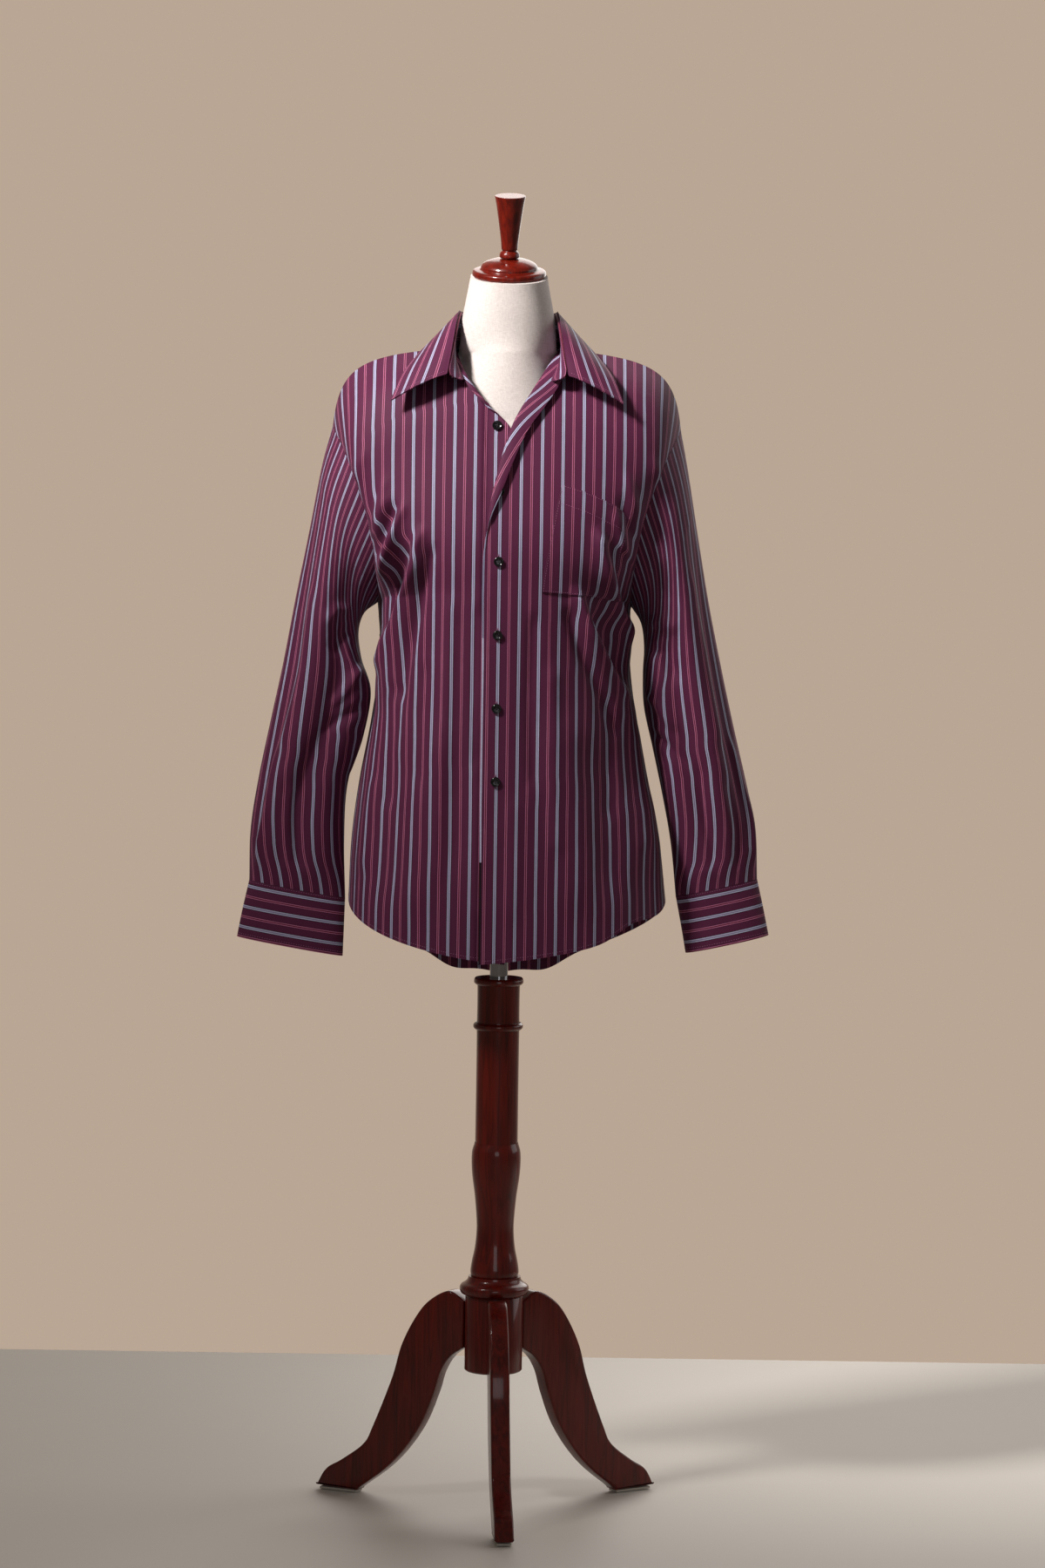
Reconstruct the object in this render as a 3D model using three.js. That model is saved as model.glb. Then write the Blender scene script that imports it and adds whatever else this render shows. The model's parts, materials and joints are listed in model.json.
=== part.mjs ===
// A striped dress shirt worn on a limbless dress form, which stands on a turned column with three legs.
// Lengths are millimetres and +Z is up. The shirt faces -Y, so the wearer's left is +X.
// Everything is placed round the upright axis of the stand. The group is then set on its origin.
import * as THREE from 'three';

// Driving sizes
const CLOTH = 1.5;
const SEAM_GAP = 0.3;
const CUFF_CLOTH = 2.2;
const BUTTON = { radius: 5.8, thickness: 2.4, rim: 0.7 };
const FRONT_BUTTON_Z = [1310, 1237, 1155, 1068, 981, 894];
const BUTTON_X = -7.5;
const OVERLAP = { edge: -22, tuck: 3.4 };
const PILLAR = { pole: 11, bore: 11.4, poleFoot: 350, columnFoot: 283.3, columnTop: 647 };
const LEG = { count: 3, thickness: 23, turn: 4, bevel: 3, padHeight: 2.7 };
const FORM_LEAN = 11;

const RIGHT = -1;
const LEFT = 1;
const UNDERARM_ROW = 5;

// Heights of the front and its corner, a row for each level from the hem to the shoulder.
// The inner edge has its own x on each side: the fronts lap at the centre and open above the first button.
const FRONT_ROWS = [
  { z: 676, y: -124, xRight: -6, xLeft: -21, xCor: 186, yCor: -129, zCor: 695, w: 0.8 },
  { z: 768, y: -124, xRight: -6, xLeft: -21, xCor: 183, yCor: -129, zCor: 778, w: 0.8 },
  { z: 866, y: -124, xRight: -6, xLeft: -22, xCor: 172, yCor: -130, zCor: 868, w: 0.8 },
  { z: 956, y: -125, xRight: -6, xLeft: -22, xCor: 159, yCor: -132, zCor: 956, w: 0.8 },
  { z: 1042, y: -128, xRight: -6, xLeft: -22, xCor: 147, yCor: -134, zCor: 1040, w: 0.85 },
  { z: 1123, y: -131, xRight: -6, xLeft: -23, xCor: 148, yCor: -136, zCor: 1117, w: 0.9 },
  { z: 1184, y: -130, xRight: -6, xLeft: -21, xCor: 156, yCor: -134, zCor: 1164, w: 1.0 },
  { z: 1242, y: -119, xRight: -6, xLeft: -12, xCor: 168, yCor: -124, zCor: 1213, w: 1.0 },
  { z: 1307, y: -100, xRight: -6, xLeft: 6, xCor: 182, yCor: -104, zCor: 1278, w: 1.0 },
  { z: 1341, y: -86, xRight: 26, xLeft: 23, xCor: 190, yCor: -84, zCor: 1328, w: 1.1 },
  { z: 1372, y: -66, xRight: 50, xLeft: 43, xCor: 197, yCor: -52, zCor: 1366, w: 1.3 },
  { z: 1404, y: 3, xRight: 65, xLeft: 65, xCor: 201, yCor: 8, zCor: 1393, w: 1.7 },
];

// The back, from the hem to the yoke seam.
const BACK_ROWS = [
  { z: 638, y: 130, xCor: 190, yCor: 134, zCor: 688, w: 0.85 },
  { z: 752, y: 126, xCor: 184, yCor: 132, zCor: 758, w: 0.85 },
  { z: 862, y: 122, xCor: 176, yCor: 130, zCor: 866, w: 0.85 },
  { z: 956, y: 118, xCor: 166, yCor: 128, zCor: 956, w: 0.85 },
  { z: 1042, y: 116, xCor: 156, yCor: 128, zCor: 1040, w: 0.85 },
  { z: 1120, y: 116, xCor: 160, yCor: 127, zCor: 1112, w: 0.9 },
  { z: 1184, y: 118, xCor: 170, yCor: 124, zCor: 1164, w: 1.0 },
  { z: 1244, y: 117, xCor: 182, yCor: 120, zCor: 1222, w: 1.0 },
  { z: 1304, y: 111, xCor: 192, yCor: 112, zCor: 1288, w: 1.0 },
];

// The side seam from hem to underarm, on the wearer's right and left.
const SIDE_SEAM = [
  { z: 742, y: 8, xRight: 183, xLeft: 200 },
  { z: 816, y: 8, xRight: 180, xLeft: 191 },
  { z: 888, y: 8, xRight: 171, xLeft: 176 },
  { z: 962, y: 8, xRight: 157, xLeft: 161 },
  { z: 1034, y: 9, xRight: 147, xLeft: 152 },
  { z: 1098, y: 10, xRight: 152, xLeft: 152 },
];

// The armhole from the underarm up the front, over the shoulder tip and down the back.
const ARMHOLE = [
  { x: 152, y: 10, z: 1098 },
  { x: 153, y: -46, z: 1134 },
  { x: 164, y: -66, z: 1200 },
  { x: 187, y: -58, z: 1266 },
  { x: 209, y: 12, z: 1308 },
  { x: 199, y: 66, z: 1276 },
  { x: 182, y: 82, z: 1204 },
  { x: 164, y: 62, z: 1138 },
];
const SHOULDER_TIP = 4 / ARMHOLE.length;
const YOKE_END = 5 / ARMHOLE.length;

// Each sleeve as rings: where its inner and outer edges lie and how far it reaches forward and back.
const SLEEVE_ROWS = {
  [RIGHT]: [
    { xIn: 156, zIn: 1095, xOut: 211, zOut: 1300, yMid: 8, front: 70, back: 72 },
    { xIn: 170, zIn: 1083, xOut: 222, zOut: 1258, yMid: 8, front: 68, back: 70 },
    { xIn: 175, zIn: 1060, xOut: 236, zOut: 1180, yMid: 8, front: 66, back: 68 },
    { xIn: 171, zIn: 1030, xOut: 251, zOut: 1102, yMid: 8, front: 64, back: 66 },
    { xIn: 161, zIn: 992, xOut: 265, zOut: 1024, yMid: 8, front: 60, back: 62 },
    { xIn: 170, zIn: 938, xOut: 279, zOut: 956, yMid: 8, front: 54, back: 56 },
    { xIn: 186, zIn: 876, xOut: 293, zOut: 886, yMid: 8, front: 46, back: 48 },
    { xIn: 189, zIn: 810, xOut: 302, zOut: 824, yMid: 8, front: 36, back: 38 },
    { xIn: 187, zIn: 741, xOut: 303, zOut: 761, yMid: 8, front: 21, back: 21 },
  ],
  [LEFT]: [
    { xIn: 156, zIn: 1094, xOut: 211, zOut: 1300, yMid: 8, front: 70, back: 72 },
    { xIn: 166, zIn: 1076, xOut: 219, zOut: 1258, yMid: 8, front: 68, back: 70 },
    { xIn: 169, zIn: 1048, xOut: 232, zOut: 1180, yMid: 8, front: 66, back: 68 },
    { xIn: 168, zIn: 1016, xOut: 246, zOut: 1102, yMid: 8, front: 64, back: 66 },
    { xIn: 170, zIn: 976, xOut: 263, zOut: 1022, yMid: 8, front: 60, back: 62 },
    { xIn: 181, zIn: 928, xOut: 279, zOut: 952, yMid: 8, front: 54, back: 56 },
    { xIn: 194, zIn: 870, xOut: 296, zOut: 882, yMid: 8, front: 46, back: 48 },
    { xIn: 205, zIn: 812, xOut: 307, zOut: 832, yMid: 8, front: 36, back: 38 },
    { xIn: 212, zIn: 749, xOut: 310, zOut: 771, yMid: 8, front: 24, back: 24 },
  ],
};

// The cuffs hang on from the last sleeve ring, their seam edge and their free edge.
const CUFF_ROWS = {
  [RIGHT]: [
    { xIn: 187, zIn: 740.5, xOut: 303, zOut: 760.5, yMid: 8, front: 21, back: 21 },
    { xIn: 188, zIn: 704, xOut: 311, zOut: 724, yMid: 7, front: 18, back: 19 },
    { xIn: 189, zIn: 670, xOut: 317, zOut: 692, yMid: 6, front: 17, back: 19 },
  ],
  [LEFT]: [
    { xIn: 212, zIn: 748.5, xOut: 310, zOut: 770.5, yMid: 8, front: 24, back: 24 },
    { xIn: 219, zIn: 713, xOut: 318, zOut: 736, yMid: 7, front: 22, back: 23 },
    { xIn: 225, zIn: 680, xOut: 325, zOut: 703, yMid: 6, front: 22, back: 24 },
  ],
};

// The collar from centre back to its front end: the seam edge and fold edge of the stand, the leaf's free edge,
// and the point that the leaf rolls towards.
const COLLAR_ROWS = [
  { x: 0, y: 67, z: 1402, tx: 0, ty: 63, tz: 1437, rx: 0, ry: 76, rz: 1439, ex: 0, ey: 97, ez: 1394 },
  { x: 34, y: 59, z: 1403, tx: 32, ty: 55, tz: 1440, rx: 39, ry: 65, rz: 1441, ex: 50, ey: 84, ez: 1396 },
  { x: 58, y: 34, z: 1404.5, tx: 54, ty: 32, tz: 1444, rx: 61, ry: 38, rz: 1442, ex: 80, ey: 52, ez: 1401 },
  { x: 66, y: 2, z: 1404.3, tx: 58, ty: 0, tz: 1446, rx: 65, ry: -2, rz: 1440, ex: 99, ey: 6, ez: 1401 },
  { x: 67, y: -34, z: 1396, tx: 62, ty: -40, tz: 1430, rx: 72, ry: -42, rz: 1426, ex: 112, ey: -38, ez: 1388 },
  { x: 60, y: -62, z: 1381, tx: 67, ty: -70, tz: 1402, rx: 82, ry: -76, rz: 1399, ex: 126, ey: -72, ez: 1368 },
  { x: 50, y: -82, z: 1363, tx: 72, ty: -90, tz: 1373, rx: 96, ry: -99, rz: 1367, ex: 137, ey: -93, ez: 1341 },
];

// The drape folds of the fronts and back. Each runs through its points (x outward, z up); a ridge has a
// positive depth and a trough a negative one.
const FOLDS = {
  rightFront: [
    { depth: 9, width: 13, path: [[92, 1190], [108, 1140], [129, 1050], [150, 965]] },
    { depth: -7, width: 12, path: [[112, 1196], [128, 1130], [141, 1070]] },
    { depth: 7, width: 11, path: [[118, 1215], [137, 1168], [150, 1118]] },
    { depth: 4, width: 22, path: [[70, 980], [92, 860], [104, 710]] },
    { depth: -4, width: 20, path: [[118, 940], [136, 820], [140, 735]] },
    { depth: -3, width: 18, path: [[48, 1150], [50, 980], [56, 760]] },
  ],
  leftFront: [
    { depth: 8, width: 13, path: [[106, 1190], [118, 1150], [136, 1080], [150, 1010]] },
    { depth: 8, width: 13, path: [[80, 1120], [103, 1058], [122, 1020], [160, 930]] },
    { depth: -6, width: 12, path: [[100, 1120], [124, 1065], [148, 975]] },
    { depth: 4, width: 22, path: [[66, 990], [84, 860], [98, 720]] },
    { depth: -4, width: 20, path: [[104, 960], [126, 840], [134, 740]] },
    { depth: 5, width: 20, path: [[160, 900], [172, 820], [178, 760]] },
  ],
  back: [
    { depth: -11, width: 16, path: [[120, 1230], [112, 1120], [104, 960], [98, 700]] },
    { depth: 9, width: 15, path: [[142, 1180], [138, 1080], [132, 930], [134, 720]] },
    { depth: 7, width: 17, path: [[84, 1200], [76, 1080], [72, 900], [70, 680]] },
    { depth: -6, width: 15, path: [[40, 1180], [42, 1040], [44, 860], [40, 670]] },
    { depth: -7, width: 13, path: [[-52, 1190], [-50, 1040], [-46, 860], [-52, 670]] },
    { depth: 8, width: 16, path: [[-80, 1210], [-84, 1060], [-82, 900], [-86, 690]] },
    { depth: -10, width: 15, path: [[-116, 1220], [-114, 1100], [-108, 930], [-112, 720]] },
    { depth: 8, width: 15, path: [[-144, 1170], [-140, 1080], [-136, 930], [-146, 740]] },
  ],
};
const FOLD_END = 55;

// Sleeve folds lie at an angle round the ring (0 at the underarm, 0.25 in front, 0.5 outside, 0.75 behind)
// and run between two fractions of the sleeve's length.
const SLEEVE_FOLDS = {
  [RIGHT]: [
    { depth: -9, width: 0.05, turn: [0.17, 0.2, 0.24], from: 0.08, to: 0.95 },
    { depth: 5, width: 0.05, turn: [0.28, 0.3, 0.33], from: 0.1, to: 0.98 },
    { depth: -7, width: 0.05, turn: [0.4, 0.39, 0.42], from: 0.15, to: 0.9 },
    { depth: -8, width: 0.05, turn: [0.7, 0.68, 0.66], from: 0.1, to: 0.95 },
    { depth: 5, width: 0.05, turn: [0.8, 0.78, 0.8], from: 0.12, to: 0.98 },
    { depth: 5, width: 0.06, turn: [0.08, 0.06, 0.03], from: 0.4, to: 0.72 },
  ],
  [LEFT]: [
    { depth: -8, width: 0.05, turn: [0.2, 0.22, 0.2], from: 0.1, to: 0.95 },
    { depth: 5, width: 0.05, turn: [0.3, 0.31, 0.29], from: 0.1, to: 0.98 },
    { depth: -7, width: 0.05, turn: [0.39, 0.4, 0.38], from: 0.2, to: 0.92 },
    { depth: -8, width: 0.05, turn: [0.68, 0.7, 0.72], from: 0.1, to: 0.95 },
    { depth: 5, width: 0.05, turn: [0.79, 0.8, 0.82], from: 0.15, to: 0.98 },
  ],
};

// The rolled edge of the left front: how wide the turned strip is at each level of FRONT_ROWS.
const ROLL_WIDTH = [0, 0, 0, 0, 0, 0, 3, 9, 17, 25, 25, 16];
const ROLL = { lift: 3.2, stand: 3.6 };

// The left front's hem rises where a fold of the side ends in it.
const HEM_DIP = { x: 160, width: 26, lift: 12, fade: 0.09 };

// The pocket lies on the left front: its outline in x and z as worn.
const POCKET = { xInner: 66, xOuter: 146, zTop: 1246, zTopOuter: 1216 };

// The dress form as level rings from its flat bottom to the top of the neck.
const FORM_ROWS = [
  { z: 722, half: 150, front: -98, back: 104, slope: 0 },
  { z: 728, half: 158, front: -104, back: 110, slope: 0 },
  { z: 790, half: 166, front: -108, back: 114, slope: 0 },
  { z: 860, half: 160, front: -106, back: 110, slope: 0 },
  { z: 940, half: 140, front: -100, back: 96, slope: 0 },
  { z: 1020, half: 122, front: -98, back: 84, slope: 0 },
  { z: 1090, half: 126, front: -108, back: 88, slope: 0 },
  { z: 1170, half: 142, front: -122, back: 98, slope: 0 },
  { z: 1250, half: 150, front: -104, back: 104, slope: 0 },
  { z: 1310, half: 164, front: -80, back: 92, slope: 0 },
  { z: 1346, half: 163, front: -58, back: 72, slope: 0 },
  { z: 1364, half: 150, front: -46, back: 60, slope: 0 },
  { z: 1377, half: 129, front: -38, back: 52, slope: 0 },
  { z: 1387, half: 93, front: -26, back: 42, slope: 0 },
  { z: 1394, half: 64.5, front: -34, back: 43, slope: 0.02 },
  { z: 1402, half: 56, front: -54, back: 46, slope: 0.04 },
  { z: 1414, half: 56, front: -58, back: 47, slope: 0.07 },
  { z: 1432, half: 55, front: -60, back: 45, slope: 0.11 },
  { z: 1456, half: 52, front: -62, back: 42, slope: 0.16 },
  { z: 1490, half: 46, front: -62, back: 32, slope: 0.194 },
];
const NECK_FOOT = { z: 1402, height: 92, half: 50, spread: 43, reach: 54, flare: 19 };

// Turned profiles, radius and height
const COLUMN_PROFILE = [
  [28.5, 283.3], [29.3, 290], [27.6, 302], [24.4, 318], [22.7, 336], [22.8, 352], [25.2, 380], [28.6, 405],
  [29.8, 423], [29.2, 436], [26.4, 446], [25.8, 452], [25.8, 583], [27.6, 584], [29.9, 586.5], [29.9, 590],
  [27.6, 592.5], [25.8, 594], [25.8, 637], [27.4, 638.5], [29.8, 641], [29.8, 644.5], [28.4, 647],
];
const BASE_RING_PROFILE = [[36, 260.3], [40.5, 263], [42, 268], [40.6, 272.5], [35.4, 276], [32.4, 279.5], [31.6, 283]];
const CAP_PROFILE = [[43, 0.4], [44, 2.4], [43.6, 6.2], [41, 8], [34.6, 9.4], [33.6, 12.6], [30, 16.4], [20, 20.4], [8, 22.2]];
const FINIAL_PROFILE = [
  [7.5, 22.6], [11.4, 23.4], [11.9, 26.4], [10.6, 29.6], [8.6, 31.6], [9.8, 34], [10.6, 44], [13.2, 64],
  [16.4, 86], [18.3, 96], [18, 97.6],
];

// The screw that clamps the pole stands out behind the column.
const SCREW_PROFILE = [[3, 26.1], [3, 32], [8.5, 33], [9, 36], [9, 41], [7.5, 42.6]];
const SCREW_HEIGHT = 616;

// Leg outline as radius and height: over the top from the hub to the toe, then back along the underside.
const LEG_TOP = [[35.4, 250], [56, 261], [82, 248], [101, 226], [120, 190], [133, 147], [158, 86], [171, 62], [200, 40], [222, 26], [235, 5]];
const LEG_UNDER = [[179, 3], [174, 8], [141, 33], [115, 60], [92, 94], [76, 132], [67, 160], [54, 180], [35.4, 193]];

// Small shared mathematics
const clamp01 = (value) => THREE.MathUtils.clamp(value, 0, 1);
const smooth = (from, to, value) => {
  const t = clamp01((value - from) / (to - from));
  return t * t * (3 - 2 * t);
};
const mix = THREE.MathUtils.lerp;
const range = (count) => Array.from({ length: count }, (_, index) => index);
const steps = (count, from = 0, to = 1) => range(count + 1).map((index) => mix(from, to, index / count));

function cubic(before, start, end, after, t) {
  const a = 2 * start;
  const b = (end - before) * t;
  const c = (2 * before - 5 * start + 4 * end - after) * t * t;
  const d = (3 * start - before - 3 * end + after) * t * t * t;
  return (a + b + c + d) / 2;
}

// A smooth value down one column of a table, with v from its first row (0) to its last (1).
function track(rows, column, v) {
  const last = rows.length - 1;
  const place = clamp01(v) * last;
  const index = Math.min(Math.floor(place), last - 1);
  const read = (row) => (column === null ? rows[row] : rows[row][column]);
  const start = read(index);
  const end = read(index + 1);
  const before = index > 0 ? read(index - 1) : 2 * start - end;
  const after = index < last - 1 ? read(index + 2) : 2 * end - start;
  return cubic(before, start, end, after, place - index);
}

// A smooth value round a table that closes on itself.
function loopTrack(rows, column, turn) {
  const count = rows.length;
  const place = (((turn % 1) + 1) % 1) * count;
  const index = Math.floor(place);
  const read = (offset) => rows[(index + offset + count) % count][column];
  return cubic(read(-1), read(0), read(1), read(2), place - index);
}

function armholePoint(side, turn) {
  return new THREE.Vector3(
    side * loopTrack(ARMHOLE, 'x', turn),
    loopTrack(ARMHOLE, 'y', turn),
    loopTrack(ARMHOLE, 'z', turn),
  );
}

function sideSeamPoint(side, v) {
  const column = side === RIGHT ? 'xRight' : 'xLeft';
  const x = v === 1 ? ARMHOLE[0].x : track(SIDE_SEAM, column, v);
  return new THREE.Vector3(side * x, track(SIDE_SEAM, 'y', v), track(SIDE_SEAM, 'z', v));
}

// A level of a panel is one conic arc from its inner point past its corner to its outer point.
function conic(inner, corner, outer, weight, u) {
  const a = (1 - u) * (1 - u);
  const b = 2 * weight * u * (1 - u);
  const c = u * u;
  const total = a + b + c;
  return new THREE.Vector3()
    .addScaledVector(inner, a / total)
    .addScaledVector(corner, b / total)
    .addScaledVector(outer, c / total);
}

const FRONT_UNDERARM = UNDERARM_ROW / (FRONT_ROWS.length - 1);
const BACK_UNDERARM = UNDERARM_ROW / (BACK_ROWS.length - 1);

function frontBase(side, u, v) {
  const inner = new THREE.Vector3(
    side * track(FRONT_ROWS, side === RIGHT ? 'xRight' : 'xLeft', v),
    track(FRONT_ROWS, 'y', v),
    track(FRONT_ROWS, 'z', v),
  );
  const widen = side === LEFT ? mix(10, 0, smooth(0, FRONT_UNDERARM, v)) : 0;
  const corner = new THREE.Vector3(
    side * (track(FRONT_ROWS, 'xCor', v) + widen),
    track(FRONT_ROWS, 'yCor', v),
    track(FRONT_ROWS, 'zCor', v),
  );
  const outer = v <= FRONT_UNDERARM
    ? sideSeamPoint(side, v / FRONT_UNDERARM)
    : armholePoint(side, (SHOULDER_TIP * (v - FRONT_UNDERARM)) / (1 - FRONT_UNDERARM));
  const base = conic(inner, corner, outer, track(FRONT_ROWS, 'w', v), u);
  if (side === LEFT) {
    const near = Math.exp(-(((base.x - HEM_DIP.x) / HEM_DIP.width) ** 2));
    base.z += HEM_DIP.lift * near * (1 - smooth(0, HEM_DIP.fade, v)) * smooth(0, 0.08, 1 - u);
  }
  return base;
}

// The back runs from the wearer's right (u = -1) to the left (u = 1).
function backBase(u, v) {
  const side = u < 0 ? RIGHT : LEFT;
  const inner = new THREE.Vector3(0, track(BACK_ROWS, 'y', v), track(BACK_ROWS, 'z', v));
  const widen = side === LEFT ? mix(12, 0, smooth(0, BACK_UNDERARM, v)) : 0;
  const corner = new THREE.Vector3(
    side * (track(BACK_ROWS, 'xCor', v) + widen),
    track(BACK_ROWS, 'yCor', v),
    track(BACK_ROWS, 'zCor', v),
  );
  const outer = v <= BACK_UNDERARM
    ? sideSeamPoint(side, v / BACK_UNDERARM)
    : armholePoint(side, 1 - ((1 - YOKE_END) * (v - BACK_UNDERARM)) / (1 - BACK_UNDERARM));
  return conic(inner, corner, outer, track(BACK_ROWS, 'w', v), Math.abs(u));
}

function unitNormal(surface, u, v, outward) {
  const e = 1e-3;
  const du = surface(u + e, v).sub(surface(u - e, v));
  const dv = surface(u, Math.min(v + e, 1)).sub(surface(u, Math.max(v - e, 0)));
  const normal = du.cross(dv).normalize();
  return normal.dot(outward) < 0 ? normal.negate() : normal;
}

function distanceAlong(path, x, z) {
  let best = { gap: Infinity, along: 0 };
  let walked = 0;
  for (let index = 1; index < path.length; index += 1) {
    const [x0, z0] = path[index - 1];
    const [x1, z1] = path[index];
    const length = Math.hypot(x1 - x0, z1 - z0);
    const t = clamp01(((x - x0) * (x1 - x0) + (z - z0) * (z1 - z0)) / (length * length));
    const gap = Math.hypot(x - mix(x0, x1, t), z - mix(z0, z1, t));
    if (gap < best.gap) best = { gap, along: walked + t * length };
    walked += length;
  }
  return { ...best, length: walked };
}

// How far the folds push the cloth out at a place, each fading in and out at its ends.
function foldDepth(folds, x, z) {
  let depth = 0;
  for (const fold of folds) {
    const near = distanceAlong(fold.path, x, z);
    const end = Math.min(near.along, near.length - near.along);
    const fade = smooth(-1, FOLD_END, end);
    depth += fold.depth * fade * Math.exp(-((near.gap / fold.width) ** 2));
  }
  return depth;
}

// Folds die out towards the seams, so that seams stay where they are.
const seamFade = (u) => smooth(0, 0.1, 1 - Math.abs(u));

function frontSurface(side, u, v) {
  const surface = (a, b) => frontBase(side, a, b);
  const point = surface(u, v);
  const outward = new THREE.Vector3(side * 0.3, -1, 0.2);
  const normal = unitNormal(surface, u, v, outward);
  const folds = side === RIGHT ? FOLDS.rightFront : FOLDS.leftFront;
  let push = foldDepth(folds, side * point.x, point.z) * seamFade(u) * smooth(1, 0.93, v);
  if (side === RIGHT) push -= OVERLAP.tuck * smooth(OVERLAP.edge - 8, OVERLAP.edge - 1, point.x) * smooth(1, 0.9, v);
  return { point: point.addScaledVector(normal, push), normal };
}

function backSurface(u, v) {
  const point = backBase(u, v);
  const normal = unitNormal(backBase, u, v, new THREE.Vector3(u * 0.3, 1, 0));
  const push = foldDepth(FOLDS.back, point.x, point.z) * seamFade(u) * smooth(1, 0.9, v);
  return { point: point.addScaledVector(normal, push), normal };
}

// Turns an outer grid of points into a closed wall. A grid row runs along u and rows are stacked along v.
function wallGeometry(outer, inner, ring = false) {
  const rows = outer.length;
  const columns = outer[0].length;
  const positions = [];
  outer.flat().forEach((point) => positions.push(point.x, point.y, point.z));
  inner.flat().forEach((point) => positions.push(point.x, point.y, point.z));
  const skin = rows * columns;
  const triangles = [];
  const quad = (a, b, c, d) => triangles.push(a, b, c, a, c, d);
  const last = ring ? columns : columns - 1;
  for (let j = 0; j < rows - 1; j += 1) {
    for (let i = 0; i < last; i += 1) {
      const a = j * columns + i;
      const b = j * columns + ((i + 1) % columns);
      const c = b + columns;
      const d = a + columns;
      quad(a, b, c, d);
      quad(skin + a, skin + d, skin + c, skin + b);
    }
  }
  for (let i = 0; i < last; i += 1) {
    const a = i;
    const b = (i + 1) % columns;
    const c = (rows - 1) * columns + i;
    const d = (rows - 1) * columns + ((i + 1) % columns);
    quad(a, skin + a, skin + b, b);
    quad(d, skin + d, skin + c, c);
  }
  if (!ring) {
    for (let j = 0; j < rows - 1; j += 1) {
      const a = j * columns;
      const b = a + columns;
      const c = a + columns - 1;
      const d = b + columns - 1;
      quad(b, skin + b, skin + a, a);
      quad(c, skin + c, skin + d, d);
    }
  }
  return closedGeometry(positions, triangles);
}

// Faces point outwards: a solid that comes out inside-out is turned over.
function closedGeometry(positions, triangles) {
  let volume = 0;
  const corner = (index) => new THREE.Vector3().fromArray(positions, 3 * index);
  for (let index = 0; index < triangles.length; index += 3) {
    const [a, b, c] = [corner(triangles[index]), corner(triangles[index + 1]), corner(triangles[index + 2])];
    volume += a.dot(b.cross(c));
  }
  const faces = volume < 0 ? triangles.reverse() : triangles;
  const geometry = new THREE.BufferGeometry();
  geometry.setAttribute('position', new THREE.Float32BufferAttribute(positions, 3));
  geometry.setIndex(faces);
  geometry.computeVertexNormals();
  return geometry;
}

function gridNormals(grid, outward, ring = false) {
  const columns = grid[0].length;
  return grid.map((row, j) => row.map((point, i) => {
    const left = ring ? row[(i - 1 + columns) % columns] : row[Math.max(i - 1, 0)];
    const right = ring ? row[(i + 1) % columns] : row[Math.min(i + 1, columns - 1)];
    const below = grid[Math.max(j - 1, 0)][i];
    const above = grid[Math.min(j + 1, grid.length - 1)][i];
    const normal = right.clone().sub(left).cross(above.clone().sub(below)).normalize();
    return normal.dot(outward(point, i, j)) < 0 ? normal.negate() : normal;
  }));
}

function offsetGrid(grid, normals, distance) {
  return grid.map((row, j) => row.map((point, i) => point.clone().addScaledVector(normals[j][i], distance)));
}

// Draws the points of one edge in towards their neighbours, which leaves the gap of a seam.
function drawIn(grid, edge, distance) {
  const rows = grid.length;
  const columns = grid[0].length;
  const move = (from, to) => {
    const step = to.clone().sub(from).setLength(distance);
    from.add(step);
  };
  if (edge === 'inner') grid.forEach((row) => move(row[0], row[1]));
  if (edge === 'outer') grid.forEach((row) => move(row[columns - 1], row[columns - 2]));
  if (edge === 'low') grid[0].forEach((point, i) => move(point, grid[1][i]));
  if (edge === 'high') grid[rows - 1].forEach((point, i) => move(point, grid[rows - 2][i]));
}

// Along the armhole both walls lean towards the middle of the armhole, so that they meet edge to edge.
const ARMHOLE_MIDDLE = new THREE.Vector3(0, 9, 1200);
function armholeOutward(point) {
  return new THREE.Vector3(0, point.y - ARMHOLE_MIDDLE.y, point.z - ARMHOLE_MIDDLE.z).normalize();
}

function leanAtArmhole(grid, normals, side, column, rows) {
  for (const j of rows) {
    normals[j][column].copy(armholeOutward(grid[j][column]));
    grid[j][column].x -= side * SEAM_GAP * 0.6;
  }
}

// Along the shoulder seam the front and the yoke lean alike, more and more outward towards the tip.
function shoulderOutward(side, share) {
  return new THREE.Vector3(side * mix(0.12, 0.9, share ** 3), -0.05, 1).normalize();
}

// Finds the place on a panel that lies at a given x and z as worn.
function placeOnFront(side, x, z) {
  let [u, v] = [0.3, 0.5];
  for (let round = 0; round < 40; round += 1) {
    const here = frontBase(side, u, v);
    const e = 1e-3;
    const du = frontBase(side, u + e, v).sub(here).divideScalar(e);
    const dv = frontBase(side, u, v + e).sub(here).divideScalar(e);
    const det = du.x * dv.z - du.z * dv.x;
    const dx = x - here.x;
    const dz = z - here.z;
    u = THREE.MathUtils.clamp(u + (0.7 * (dx * dv.z - dz * dv.x)) / det, 0, 1);
    v = THREE.MathUtils.clamp(v + (0.7 * (dz * du.x - dx * du.z)) / det, 0, 1);
  }
  return { u, v };
}

// Sample places along and up the panels
const ACROSS = 12;
const BACK_ACROSS = 12;
const LOW_ROWS = 10;
const FRONT_HIGH_ROWS = 9;
const BACK_HIGH_ROWS = 7;
const YOKE_ROWS = 4;

// The pocket's corners as places on the left front. Its foot lies level with the underarm.
const POCKET_PLACE = {
  inner: placeOnFront(LEFT, POCKET.xInner, POCKET.zTop).u,
  outer: placeOnFront(LEFT, POCKET.xOuter, POCKET.zTopOuter).u,
  low: FRONT_UNDERARM,
  high: placeOnFront(LEFT, POCKET.xInner, POCKET.zTop).v,
};

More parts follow.
